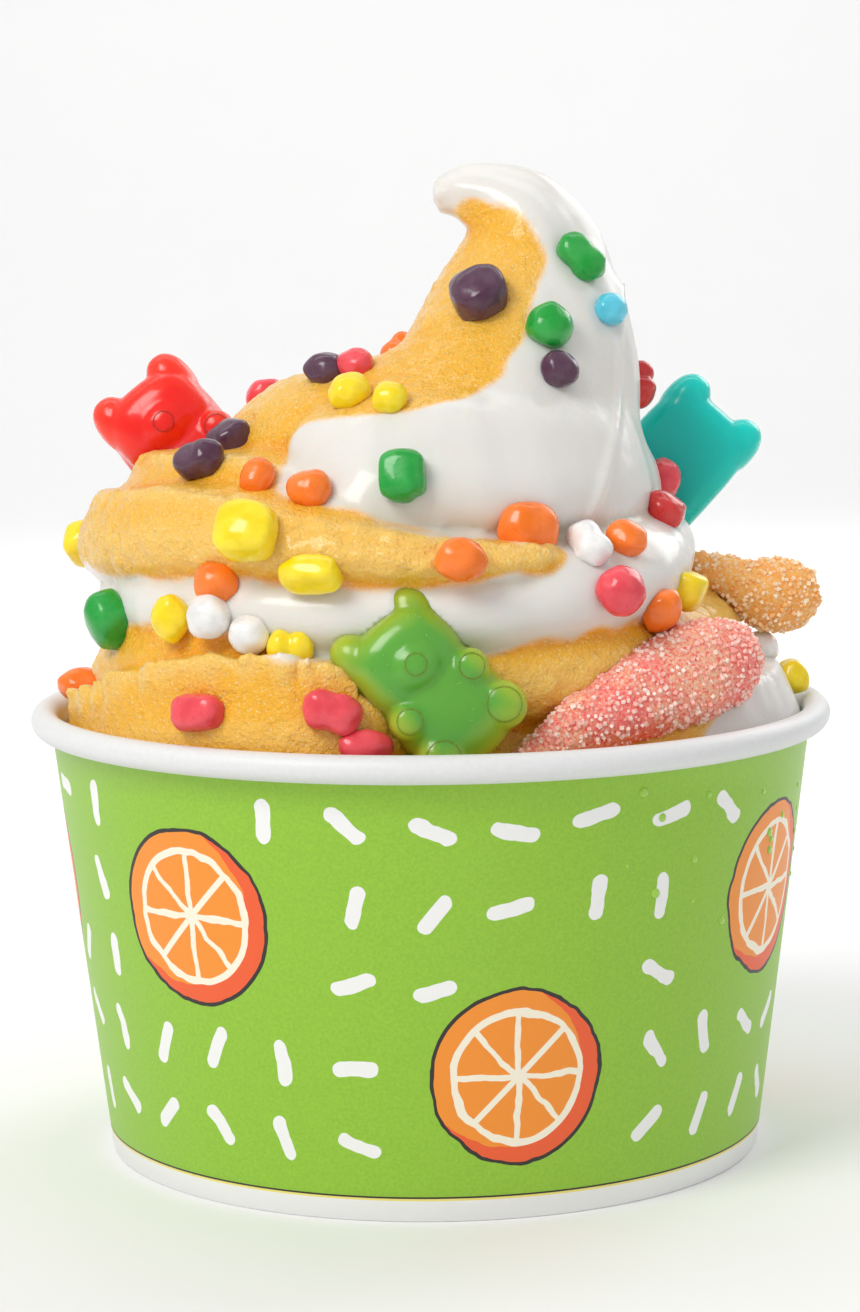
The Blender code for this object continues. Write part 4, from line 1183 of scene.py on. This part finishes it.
@dataclass
class Swirl:
    """The two flavours of yogurt, swirled into the cup. Scales of noise are in waves to the metre."""

    voxel: float = 0.00060
    smoothing: int = 2
    strand_voxel: float = 0.0016
    strand_smoothing: int = 6
    trim_height: float = 0.0400
    segments: int = 120
    border: float = 0.00032
    border_wander: float = 0.0007
    border_scale: float = 260.0
    wobble: float = 0.00018
    wobble_scale: float = 110.0
    grain: float = 0.00015
    grain_scale: float = 620.0
    fine_scale: float = 1150.0
    fine_share: float = 0.6
    crest_grain: float = 1.6
    plain_grain: float = 0.12
    calm_share: float = 0.3
    rope_core: float = 0.93
    core_first: int = 2
    core_end: int = 9
    core_balls: int = 40
    soft_azimuth: float = 236.0
    soft_rounds: int = 60
    soft_share: float = 0.7
    bend_share: float = 0.6
    streak: float = 0.00022
    pleat: float = 0.00050
    pleat_width: float = 0.00075
    pleat_places: tuple[Span, ...] = (
        (0.0229, 0.1019), (0.0227, 0.0932), (0.0221, 0.0845), (0.0207, 0.0781), (0.0192, 0.0745),
    )

    def build_body(self) -> Item:
        """Builds the swirl's surface: fill, mound, folds and last rope joined into one."""
        bm = bmesh.new()
        fill = [
            (0.0, 0.0),
            (FOOT_RADIUS, 0.0),
            (WALL_TOP_RADIUS, MOUND[-1][1]),
            *reversed(MOUND),
            (0.0, MOUND[0][1]),
        ]
        turned(bm, fill, self.segments)
        for crest, stations in FOLDS.values():
            add_fold(bm, stations, crest)
        add_rope(bm, ROPE, 150, 120, ROPE_RIDGES)
        core = [(b.x, b.y, b.z, self.rope_core * b.radius) for b in ROPE[self.core_first:self.core_end]]
        for x, y, z, radius in smooth_path(core, self.core_balls):
            place = Matrix.Translation((x, y, z))
            bmesh.ops.create_icosphere(bm, subdivisions=4, radius=radius, matrix=place)
        body = add_object("yogurt_swirl", bm)
        remesh(body, self.voxel, self.smoothing)
        self.trim(body)
        self.soften(body)
        self.add_pleat(body)
        self.fit_cup(body)
        return body

    def soften(self, body: Item) -> None:
        """Evens the creases where the last rope runs into the white coil, and round the rope's inner bend."""
        points = read_points(body)
        height = points[:, 2]
        turn = (np.degrees(np.arctan2(points[:, 1], points[:, 0])) - self.soft_azimuth) % 360.0
        under_horn = ramp(height, 0.1010, 0.0970)
        front = ramp(turn, 0.0, 10.0) * ramp(turn, 185.0, 165.0) * ramp(height, 0.0768, 0.0790) * under_horn
        bend = ramp(height, 0.0885, 0.0915) * under_horn
        share = self.soft_share * np.maximum(front, self.bend_share * bend)
        write_points(body, even_out(body, points, self.soft_rounds, share[:, None]))

    def add_pleat(self, body: Item) -> None:
        """Raises the soft pleat that runs down the white side of the peak."""
        tree = surface_tree(body)
        path = []
        for across, up in smooth_path(list(self.pleat_places), 90):
            hit, _, _, _ = tree.ray_cast(EYE, (Vector((across, 0.0, up)) - EYE).normalized())
            if hit is not None:
                path.append(tuple(hit))
        points = read_points(body)
        normals = read_normals(body)
        away = np.full(len(points), 1.0)
        for spot in np.array(path):
            away = np.minimum(away, np.linalg.norm(points - spot, axis=1))
        height = self.pleat * np.exp(-((away / self.pleat_width) ** 2))
        write_points(body, points + normals * height[:, None])

    def trim(self, body: Item) -> None:
        """Gives the hidden lower part of the fill a few long faces in place of its fine ones."""
        bm = bmesh.new()
        bm.from_mesh(body.data)
        bmesh.ops.bisect_plane(
            bm, geom=bm.verts[:] + bm.edges[:] + bm.faces[:], plane_co=(0, 0, self.trim_height),
            plane_no=(0, 0, 1), clear_inner=True,
        )
        rim = [e for e in bm.edges if e.is_boundary]
        lower = bmesh.ops.extrude_edge_only(bm, edges=rim)["geom"]
        foot = (FOOT_RADIUS - PAPER) / WALL_TOP_RADIUS
        for vertex in (item for item in lower if isinstance(item, bmesh.types.BMVert)):
            vertex.co = (vertex.co.x * foot, vertex.co.y * foot, BASE_RECESS + PAPER + GAP)
        bmesh.ops.holes_fill(bm, edges=[e for e in bm.edges if e.is_boundary], sides=0)
        bmesh.ops.recalc_face_normals(bm, faces=bm.faces)
        bm.to_mesh(body.data)
        bm.free()

    def fit_cup(self, body: Item) -> None:
        """Holds the swirl inside the cup's wall, and inside the rim's width above it."""
        cup = PaperCup()
        roll_inner = RIM_RADIUS - 2 * ROLL_RADIUS
        above = CUP_HEIGHT + FILL_GAP
        floor = BASE_RECESS + PAPER + GAP
        limit = np.array([
            (floor, cup.inner_radius(floor) - FILL_GAP),
            (UNDER_ROLL, cup.inner_radius(UNDER_ROLL) - FILL_GAP),
            (ROLL_HEIGHT, roll_inner - FILL_GAP),
            (CUP_HEIGHT - ROLL_RADIUS / 3, roll_inner),
            (above, roll_inner + ROLL_RADIUS),
            (above + WELD, RIM_RADIUS),
        ])
        points = read_points(body)
        radius = np.hypot(points[:, 0], points[:, 1])
        most = np.interp(points[:, 2], limit[:, 0], limit[:, 1])
        shrink = np.minimum(1.0, most / np.maximum(radius, WELD))
        points[:, :2] *= shrink[:, None]
        write_points(body, points)

    def build_strand(self) -> BVHTree:
        """Builds the space that the orange flavour takes, as a search tree over its surface."""
        bm = bmesh.new()
        for stations in ORANGE_TURNS.values():
            add_fold(bm, stations)
        for x, y, z, radius in smooth_path([(b.x, b.y, b.z, b.radius) for b in ORANGE_ROPE], 20):
            bmesh.ops.create_uvsphere(
                bm, u_segments=24, v_segments=16, radius=radius, matrix=Matrix.Translation((x, y, z)),
            )
        strand = add_object("strand", bm)
        remesh(strand, self.strand_voxel, self.strand_smoothing)
        tree = surface_tree(strand)
        bpy.data.objects.remove(strand, do_unlink=True)
        return tree

    def paint(self, body: Item, strand: BVHTree) -> None:
        """Gives each point its flavour and hollowness, and the surface its grain.

        Args:
            body: the swirl.
            strand: the space of the orange flavour.
        """
        points = read_points(body)
        hollow = hollowness(body, points)
        count = len(points)
        flavour = np.zeros(count)
        lift = np.zeros(count)
        normals = read_normals(body)
        for index in range(count):
            point = Vector(points[index])
            near, facing, _, distance = strand.find_nearest(point)
            inside = distance if (point - near).dot(facing) < 0 else -distance
            inside += self.border_wander * noise.noise(point * self.border_scale)
            flavour[index] = min(1.0, max(0.0, 0.5 + inside / (2 * self.border)))
            coarse = noise.noise(point * self.wobble_scale)
            fine = noise.noise(point * self.grain_scale)
            fine += self.fine_share * noise.noise(point * self.fine_scale)
            crest = max(0.0, 0.5 - hollow[index]) * 2
            rough = flavour[index] * self.grain * (1 + self.crest_grain * crest)
            turn = math.atan2(point.y, point.x)
            run = noise.noise(Vector((turn * 9.0, point.z * 28.0, 4.0)))
            lift[index] = self.wobble * coarse + rough * fine + self.plain_grain * self.grain * fine
            lift[index] += self.streak * (1 - flavour[index]) * run
        lift[points[:, 2] < CUP_HEIGHT] *= self.calm_share
        write_points(body, points + normals * lift[:, None])
        keep_values(body, "flavour", flavour)
        # The hollowness also drives the yogurt's painted light on crests and painted shade in creases.
        keep_values(body, "hollow", hollow)


def read_points(item: Item) -> np.ndarray:
    """Gives the places of an object's points."""
    points = np.zeros(len(item.data.vertices) * 3)
    item.data.vertices.foreach_get("co", points)
    return points.reshape(-1, 3)


def read_normals(item: Item) -> np.ndarray:
    """Gives the way that the surface faces at each of an object's points."""
    normals = np.zeros(len(item.data.vertices) * 3)
    item.data.vertices.foreach_get("normal", normals)
    return normals.reshape(-1, 3)


def write_points(item: Item, points: np.ndarray) -> None:
    """Moves an object's points."""
    item.data.vertices.foreach_set("co", points.ravel())
    item.data.update()


def ramp(values: np.ndarray, start: float, end: float) -> np.ndarray:
    """Rises from 0 at one value to 1 at another, and is held beyond them."""
    return np.clip((values - start) / (end - start), 0.0, 1.0)


def keep_values(item: Item, name: str, values: np.ndarray) -> None:
    """Keeps one number for each point of an object's mesh."""
    attribute = item.data.attributes.new(name, "FLOAT", "POINT")
    attribute.data.foreach_set("value", values.astype(np.float32))


def hollowness(item: Item, points: np.ndarray) -> np.ndarray:
    """Tells how hollow the surface is at each point, from 0 on a crest to 1 in a crease.

    Args:
        item: the object.
        points: the places of its points.

    Returns:
        One number for each point.
    """
    smooth = even_out(item, points, HOLLOW_ROUNDS, HOLLOW_SHARE)
    depth = np.sum((smooth - points) * read_normals(item), axis=1)
    return ramp(depth, -HOLLOW_DEPTH, HOLLOW_DEPTH)


def even_out(item: Item, points: np.ndarray, rounds: int, share: float | np.ndarray) -> np.ndarray:
    """Moves points towards the middle of their neighbours, again and again.

    Args:
        item: the object, whose edges tell which points are neighbours.
        points: the places of its points.
        rounds: how often they are moved.
        share: how far they are moved each time, from 0 to 1.

    Returns:
        The new places.
    """
    ends = np.zeros(len(item.data.edges) * 2, dtype=np.int64)
    item.data.edges.foreach_get("vertices", ends)
    first, second = ends[0::2], ends[1::2]
    count = len(points)
    shared = np.bincount(first, minlength=count) + np.bincount(second, minlength=count)
    shared = np.maximum(shared, 1)[:, None]
    smooth = points.copy()
    for _ in range(rounds):
        total = np.zeros_like(smooth)
        for axis in range(3):
            total[:, axis] = np.bincount(first, smooth[second, axis], count)
            total[:, axis] += np.bincount(second, smooth[first, axis], count)
        smooth += share * (total / shared - smooth)
    return smooth


@dataclass
class GummyBear:
    """A gummy bear: rounded head, ears, muzzle, belly, arms and legs on a flat squared back."""

    name: str
    finish: GummyFinish
    voxel: float = 0.00028
    smoothing: int = 12
    back: float = 0.0036
    half_width: float = 0.0066
    half_length: float = 0.0102
    middle: float = 0.0010
    ring: float = 0.00007

    def shapes(self) -> list[tuple[Vector, Vector, Span]]:
        """Gives the bear's rounded parts: centre, half sizes, and how squared each is across and in depth."""
        middle = [
            ((0.0, -0.0004, 0.0046), (0.0062, 0.0042, 0.0051), (0.75, 0.85)),
            ((0.0, -0.0030, 0.0036), (0.0033, 0.0025, 0.0028), (1.0, 0.9)),
            ((0.0, -0.0004, -0.0026), (0.0064, 0.0041, 0.0066), (0.75, 0.85)),
            ((0.0, 0.0014, 0.0003), (0.0065, 0.0026, 0.0093), (0.5, 0.8)),
        ]
        paired = [
            ((0.0041, 0.0002, 0.0074), (0.0026, 0.0030, 0.0038), (0.9, 0.9)),
            ((0.0045, -0.0020, -0.0006), (0.0021, 0.0028, 0.0021), (1.0, 0.5)),
            ((0.0044, -0.0018, -0.0060), (0.0027, 0.0029, 0.0028), (1.0, 0.5)),
        ]
        both = [((-x, y, z), half, squared) for (x, y, z), half, squared in paired]
        return [(Vector(place), Vector(half), squared) for place, half, squared in middle + paired + both]

    def pads(self) -> list[tuple[Vector, float]]:
        """Gives the rings on the bear's muzzle, arms and legs: centre and radius."""
        found = [(Vector((0.0, 0.0, 0.0036)), 0.0012)]
        for side in (-1, 1):
            found.append((Vector((side * 0.0045, 0.0, -0.0006)), 0.0014))
            found.append((Vector((side * 0.0044, 0.0, -0.0060)), 0.0019))
        return found

    def build(self) -> Item:
        """Builds the bear at its place."""
        centre, turn, lean, spin = BEAR_PLACES[self.name]
        bm = bmesh.new()
        for place, half, (across, deep) in self.shapes():
            part = bmesh.ops.create_uvsphere(bm, u_segments=32, v_segments=24, radius=1.0)["verts"]
            for vertex in part:
                x, y, z = vertex.co
                x = math.copysign(abs(x) ** across, x)
                y = math.copysign(abs(y) ** deep, y)
                z = math.copysign(abs(z) ** across, z)
                vertex.co = place + Vector((x * half.x, y * half.y, z * half.z))
                vertex.co.y = min(vertex.co.y, self.back)
        bear = add_object(self.name.replace("gummy_bear", "clear_bear"), bm)
        remesh(bear, self.voxel, self.smoothing)
        plain_points = len(bear.data.vertices)
        self.add_rings(bear)
        points = read_points(bear)
        # Painted light: the share of the paler colour rises towards the bear's outline.
        beside = np.abs(points[:, 0]) / self.half_width
        above = np.abs(points[:, 2] - self.middle) / self.half_length
        edge = ramp(np.maximum(beside, above), 0.5, 1.0)
        # Painted highlights: the mould rings take the paler colour in full.
        edge[plain_points:] = 1.0
        keep_values(bear, "edge", edge)
        pose = Euler((math.radians(lean), 0.0, 0.0)).to_matrix()
        pose = pose @ Matrix.Rotation(math.radians(turn), 3, "Y")
        pose = pose @ Matrix.Rotation(math.radians(spin), 3, "Z")
        bear.data.transform(Matrix.Translation(centre) @ pose.to_4x4())
        dress(bear, self.finish.make(), self.name, self.name)
        return bear

    def add_rings(self, bear: Item) -> None:
        """Adds the thin rings that the mould leaves, sunk halfway into the bear's front.

        Args:
            bear: the bear, before it is turned to its place.
        """
        tree = surface_tree(bear)
        bm = bmesh.new()
        bm.from_mesh(bear.data)
        corners = [(math.cos(turn) * self.ring, math.sin(turn) * self.ring)
                   for turn in (math.tau * step / 6 for step in range(6))]
        for place, radius in self.pads():
            ring = bmesh.new()
            turned(ring, [(radius + out, rise) for out, rise in corners], 36)
            for vertex in ring.verts:
                across, up = place.x + vertex.co.x, place.z + vertex.co.y
                hit, _, _, _ = tree.ray_cast(Vector((across, -0.02, up)), Vector((0.0, 1.0, 0.0)))
                vertex.co = Vector((across, hit.y - vertex.co.z, up))
            bmesh.ops.recalc_face_normals(ring, faces=ring.faces)
            shape = bpy.data.meshes.new("ring")
            ring.to_mesh(shape)
            ring.free()
            bm.from_mesh(shape)
            bpy.data.meshes.remove(shape)
        bm.to_mesh(bear.data)
        bm.free()
        bear.data.shade_smooth()


@dataclass
class SourGummy:
    """A tear-shaped gummy under a coat of sour sugar."""

    name: str
    finish: SourFinish
    sugar: SugarFinish
    crystals: int
    seed: int
    crystal_sizes: Span = (0.00020, 0.00046)
    crystal_stand: float = 0.2
    lump: float = 0.00035

    def build(self) -> Item:
        """Builds the gummy and its sugar, and gives the gummy."""
        bm = bmesh.new()
        add_rope(bm, SOUR_BEADS[self.name], 72, 44, flatness=SOUR_FLATNESS)
        for vertex in bm.verts:
            vertex.co += vertex.normal * self.lump * noise.noise(vertex.co * 330)
        body = add_object(self.name.replace("sour_gummy", "sugared_drop"), bm)
        dress(body, self.finish.make(), self.name, self.name)
        self.build_sugar(body)
        return body

    def build_sugar(self, body: Item) -> None:
        """Builds the sugar as one piece: small crystals over the gummy's whole surface."""
        draw = random.Random(self.seed)
        faces = body.data.polygons
        weights = [face.area for face in faces]
        bm = bmesh.new()
        for face in draw.choices(list(faces), weights, k=self.crystals):
            corners = [body.data.vertices[i].co for i in face.vertices]
            shares = [draw.random() for _ in corners]
            point = sum((corner * share for corner, share in zip(corners, shares)), Vector()) / sum(shares)
            size = draw.uniform(*self.crystal_sizes)
            turn = Euler((draw.uniform(0, math.tau), draw.uniform(0, math.tau), 0.0)).to_matrix().to_4x4()
            shape = Matrix.Diagonal((size, size * draw.uniform(0.7, 1.3), size * draw.uniform(0.7, 1.1), 1.0))
            where = Matrix.Translation(point + face.normal * size * self.crystal_stand)
            bmesh.ops.create_cube(bm, size=1.0, matrix=where @ turn @ shape)
        sugar = add_object(body.name + "_sugar", bm, smooth=False)
        dress(sugar, self.sugar.make(), self.name)


@dataclass
class Candies:
    """The pebble candies, on the front as placed and on the back by a seeded draw."""

    back_count: int = 18
    back_low: float = 0.057
    back_high: float = 0.094
    back_size: Span = (0.0040, 0.0056)
    back_azimuths: Span = (-8.0, 178.0)
    back_spacing: float = 0.0075
    far_out: float = 0.09
    seed: int = 7

    def shape(self, bm: bmesh.types.BMesh, point: Vector, outwards: Vector, pebble: Pebble,
              seed: int) -> Vector:
        """Adds one candy, half sunk where it lies.

        Args:
            bm: the bmesh of its colour.
            point: where it lies.
            outwards: which way the surface faces there.
            pebble: its size, turn and form.
            seed: tells its lumps from those of the others.

        Returns:
            The candy's centre.
        """
        pinch, power = pebble.form.value
        deep = PEBBLE_DEPTH * min(pebble.wide, pebble.tall)
        upright = (Vector((0.0, 0.0, 1.0)) - outwards * outwards.z).normalized()
        frame = Matrix((upright.cross(outwards), upright, outwards)).transposed()
        frame = frame @ Matrix.Rotation(math.radians(pebble.turn), 3, "Z")
        centre = point + outwards * PEBBLE_STAND * deep
        along_tall = pebble.tall > pebble.wide
        for vertex in bmesh.ops.create_icosphere(bm, subdivisions=4, radius=1.0)["verts"]:
            unit = vertex.co.copy()
            squared = Vector([math.copysign(abs(c) ** power, c) for c in unit])
            lump = 1.03 + 0.12 * noise.noise(unit * 1.3 + Vector((seed * 3.1, 0.0, 0.0)))
            lump += 0.03 * noise.noise(unit * 2.6 + Vector((0.0, seed * 2.3, 0.0)))
            waist = math.exp(-((unit.y if along_tall else unit.x) / 0.32) ** 2)
            lump *= 1 - pinch * waist
            size = Vector((pebble.wide, pebble.tall, deep)) / 2
            local = Vector((squared.x * size.x, squared.y * size.y, squared.z * size.z)) * lump
            vertex.co = centre + frame @ local
        return centre

    def build(self, body: Item, strand: BVHTree) -> None:
        """Builds the candies, one piece for each colour.

        Args:
            body: the swirl that they lie on.
            strand: the space of the orange flavour.
        """
        tree = surface_tree(body)
        kinds = {candy: bmesh.new() for candy in Candy}
        centres = []
        for number, pebble in enumerate(PEBBLES):
            middle = Vector((pebble.across, 0.0, pebble.up))
            point, normal, _, _ = tree.ray_cast(EYE, (middle - EYE).normalized())
            if point is None:
                point, normal, _, _ = tree.find_nearest(middle)
            centres.append(self.shape(kinds[pebble.candy], point, normal, pebble, number))
        self.lay_back(tree, strand, kinds, centres)
        for candy, bm in kinds.items():
            piece = add_object("candies_" + candy.name.lower(), bm)
            dress(piece, CandyFinish(candy).make(), "yogurt_white")

    def lay_back(self, tree: BVHTree, strand: BVHTree, kinds: dict[Candy, bmesh.types.BMesh],
                 centres: list[Vector]) -> None:
        """Lays candies on the back, clear of the ones already laid and of each other.

        Args:
            tree: the swirl's surface.
            strand: the space of the orange flavour.
            kinds: the bmesh of each colour.
            centres: where candies lie already.
        """
        draw = random.Random(self.seed)
        colors = list(Candy)
        count = 0
        while count < self.back_count:
            azimuth = math.radians(draw.uniform(*self.back_azimuths))
            height = draw.uniform(self.back_low, self.back_high)
            wide, tall = draw.uniform(*self.back_size), draw.uniform(*self.back_size)
            turn = draw.uniform(0.0, 180.0)
            outwards = Vector((math.cos(azimuth), math.sin(azimuth), 0.0))
            start = outwards * self.far_out + Vector((0.0, 0.0, height))
            point, normal, _, _ = tree.ray_cast(start, -outwards)
            if point is None or min((point - other).length for other in centres) < self.back_spacing:
                continue
            if strand.find_nearest(point)[3] < self.back_size[0] / 2:
                continue
            candy = colors[(3 * count + 1) % len(colors)]
            pebble = Pebble(0.0, 0.0, wide, tall, turn, candy, list(Form)[count % len(Form)])
            self.shape(kinds[candy], point, normal, pebble, 100 + count)
            centres.append(point)
            count += 1


@dataclass
class Studio:
    """Pale floor that curves up behind, soft lights, and the camera of the front view."""

    floor_front: float = -1.2
    floor_back: float = 0.9
    floor_half: float = 2.2
    wall_height: float = 1.6
    bend: float = 0.45
    bend_steps: int = 12
    sky_strength: float = 0.60

    def build_floor(self) -> None:
        """Builds the floor."""
        bm = bmesh.new()
        profile = [(self.floor_front, 0.0), (self.floor_back, 0.0)]
        for step in range(1, self.bend_steps + 1):
            angle = math.pi / 2 * step / self.bend_steps
            profile.append((self.floor_back + self.bend * math.sin(angle), self.bend * (1 - math.cos(angle))))
        profile.append((self.floor_back + self.bend, self.wall_height))
        row = [bm.verts.new((-self.floor_half, y, z)) for y, z in profile]
        edges = [bm.edges.new(pair) for pair in zip(row, row[1:])]
        drawn = bmesh.ops.extrude_edge_only(bm, edges=edges)["geom"]
        far = [item for item in drawn if isinstance(item, bmesh.types.BMVert)]
        bmesh.ops.translate(bm, verts=far, vec=(2 * self.floor_half, 0.0, 0.0))
        bmesh.ops.recalc_face_normals(bm, faces=bm.faces)
        floor = add_object("floor", bm)
        floor.data.materials.append(FloorFinish().make())

    def add_light(self, name: str, place: Color, power: float, size: float, color: Color,
                  aim: Color = (0.0, 0.0, 0.07)) -> None:
        """Adds one square soft light.

        Args:
            name: the light's name.
            place: where it stands.
            power: its power in watts.
            size: its side in metres.
            color: its colour.
            aim: the point that it faces.
        """
        light = bpy.data.lights.new(name, "AREA")
        light.energy = power
        light.size = size
        light.color = color
        item = bpy.data.objects.new(name, light)
        item.location = place
        item.rotation_euler = (Vector(aim) - Vector(place)).to_track_quat("-Z", "Y").to_euler()
        bpy.context.scene.collection.objects.link(item)

    def build(self) -> None:
        """Builds the floor, lights and camera."""
        scene = bpy.context.scene
        scene.view_settings.view_transform = "Standard"
        self.build_floor()
        self.add_light("key", (-0.38, -0.42, 0.58), 3.2, 0.34, (1.0, 0.985, 0.96))
        self.add_light("fill", (0.60, -0.45, 0.30), 0.2, 0.50, (0.96, 0.98, 1.0))
        self.add_light("back", (0.42, 0.50, 0.42), 1.2, 0.40, (1.0, 1.0, 1.0))
        self.add_light("backdrop", (0.0, 0.35, 0.9), 6.2, 1.0, (1.0, 1.0, 1.0), (0.0, 1.35, 0.3))
        world = bpy.data.worlds.new("studio")
        world.use_nodes = True
        background = world.node_tree.nodes["Background"]
        background.inputs["Color"].default_value = (1.0, 1.0, 1.0, 1.0)
        background.inputs["Strength"].default_value = self.sky_strength
        scene.world = world
        camera = bpy.data.cameras.new("front")
        camera.sensor_width = SENSOR
        camera.lens = FOCAL_PIXELS * SENSOR / FRAME_HEIGHT
        eye = bpy.data.objects.new("front", camera)
        eye.location = EYE
        eye.rotation_mode = "QUATERNION"
        tilt = Euler((CAMERA_TILT, 0.0, 0.0)).to_quaternion()
        eye.rotation_quaternion = tilt @ Quaternion((0.0, 0.0, 1.0), CAMERA_ROLL)
        scene.collection.objects.link(eye)
        scene.camera = eye


def main() -> None:
    """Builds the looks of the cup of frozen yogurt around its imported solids."""
    logging.basicConfig(level=logging.INFO, format="%(message)s")
    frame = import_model()
    Studio().build()
    PaperCup().build(frame["nodes"])
    green = GummyFinish("green_gummy", (0.17, 0.57, 0.07), (0.60, 0.74, 0.05), 0.35)
    red = GummyFinish("red_gummy", (0.90, 0.014, 0.008), (1.0, 0.060, 0.025), 0.10)
    teal = GummyFinish("teal_gummy", (0.0, 0.60, 0.54), (0.0, 0.66, 0.60), 0.10)
    pink = SourFinish("pink_sour", (1.0, 0.27, 0.21), (1.0, 0.50, 0.30), (0.94, 0.11, 0.12))
    pink_sugar = SugarFinish("pink_sugar", (1.0, 0.46, 0.38), (1.0, 0.80, 0.72))
    orange = SourFinish("orange_sour", (1.0, 0.46, 0.10), (1.0, 0.58, 0.17), (1.0, 0.38, 0.07))
    orange_sugar = SugarFinish("orange_sugar", (1.0, 0.58, 0.22), (1.0, 0.82, 0.58))
    pieces = [
        GummyBear("gummy_bear_green", green),
        GummyBear("gummy_bear_red", red),
        GummyBear("gummy_bear_teal", teal),
        SourGummy("sour_gummy_pink", pink, pink_sugar, 1700, 21),
        SourGummy("sour_gummy_orange", orange, orange_sugar, 700, 22),
    ]
    gummies = [piece.build() for piece in pieces]
    swirl = Swirl()
    body = swirl.build_body()
    strand = swirl.build_strand()
    Candies().build(body, strand)
    cut(body, gummies, GUMMY_CLEARANCE)
    swirl.paint(body, strand)
    dress(body, YogurtFinish().make(), "yogurt_orange", "yogurt_orange", "yogurt_white")


if __name__ == "__main__":
    main()
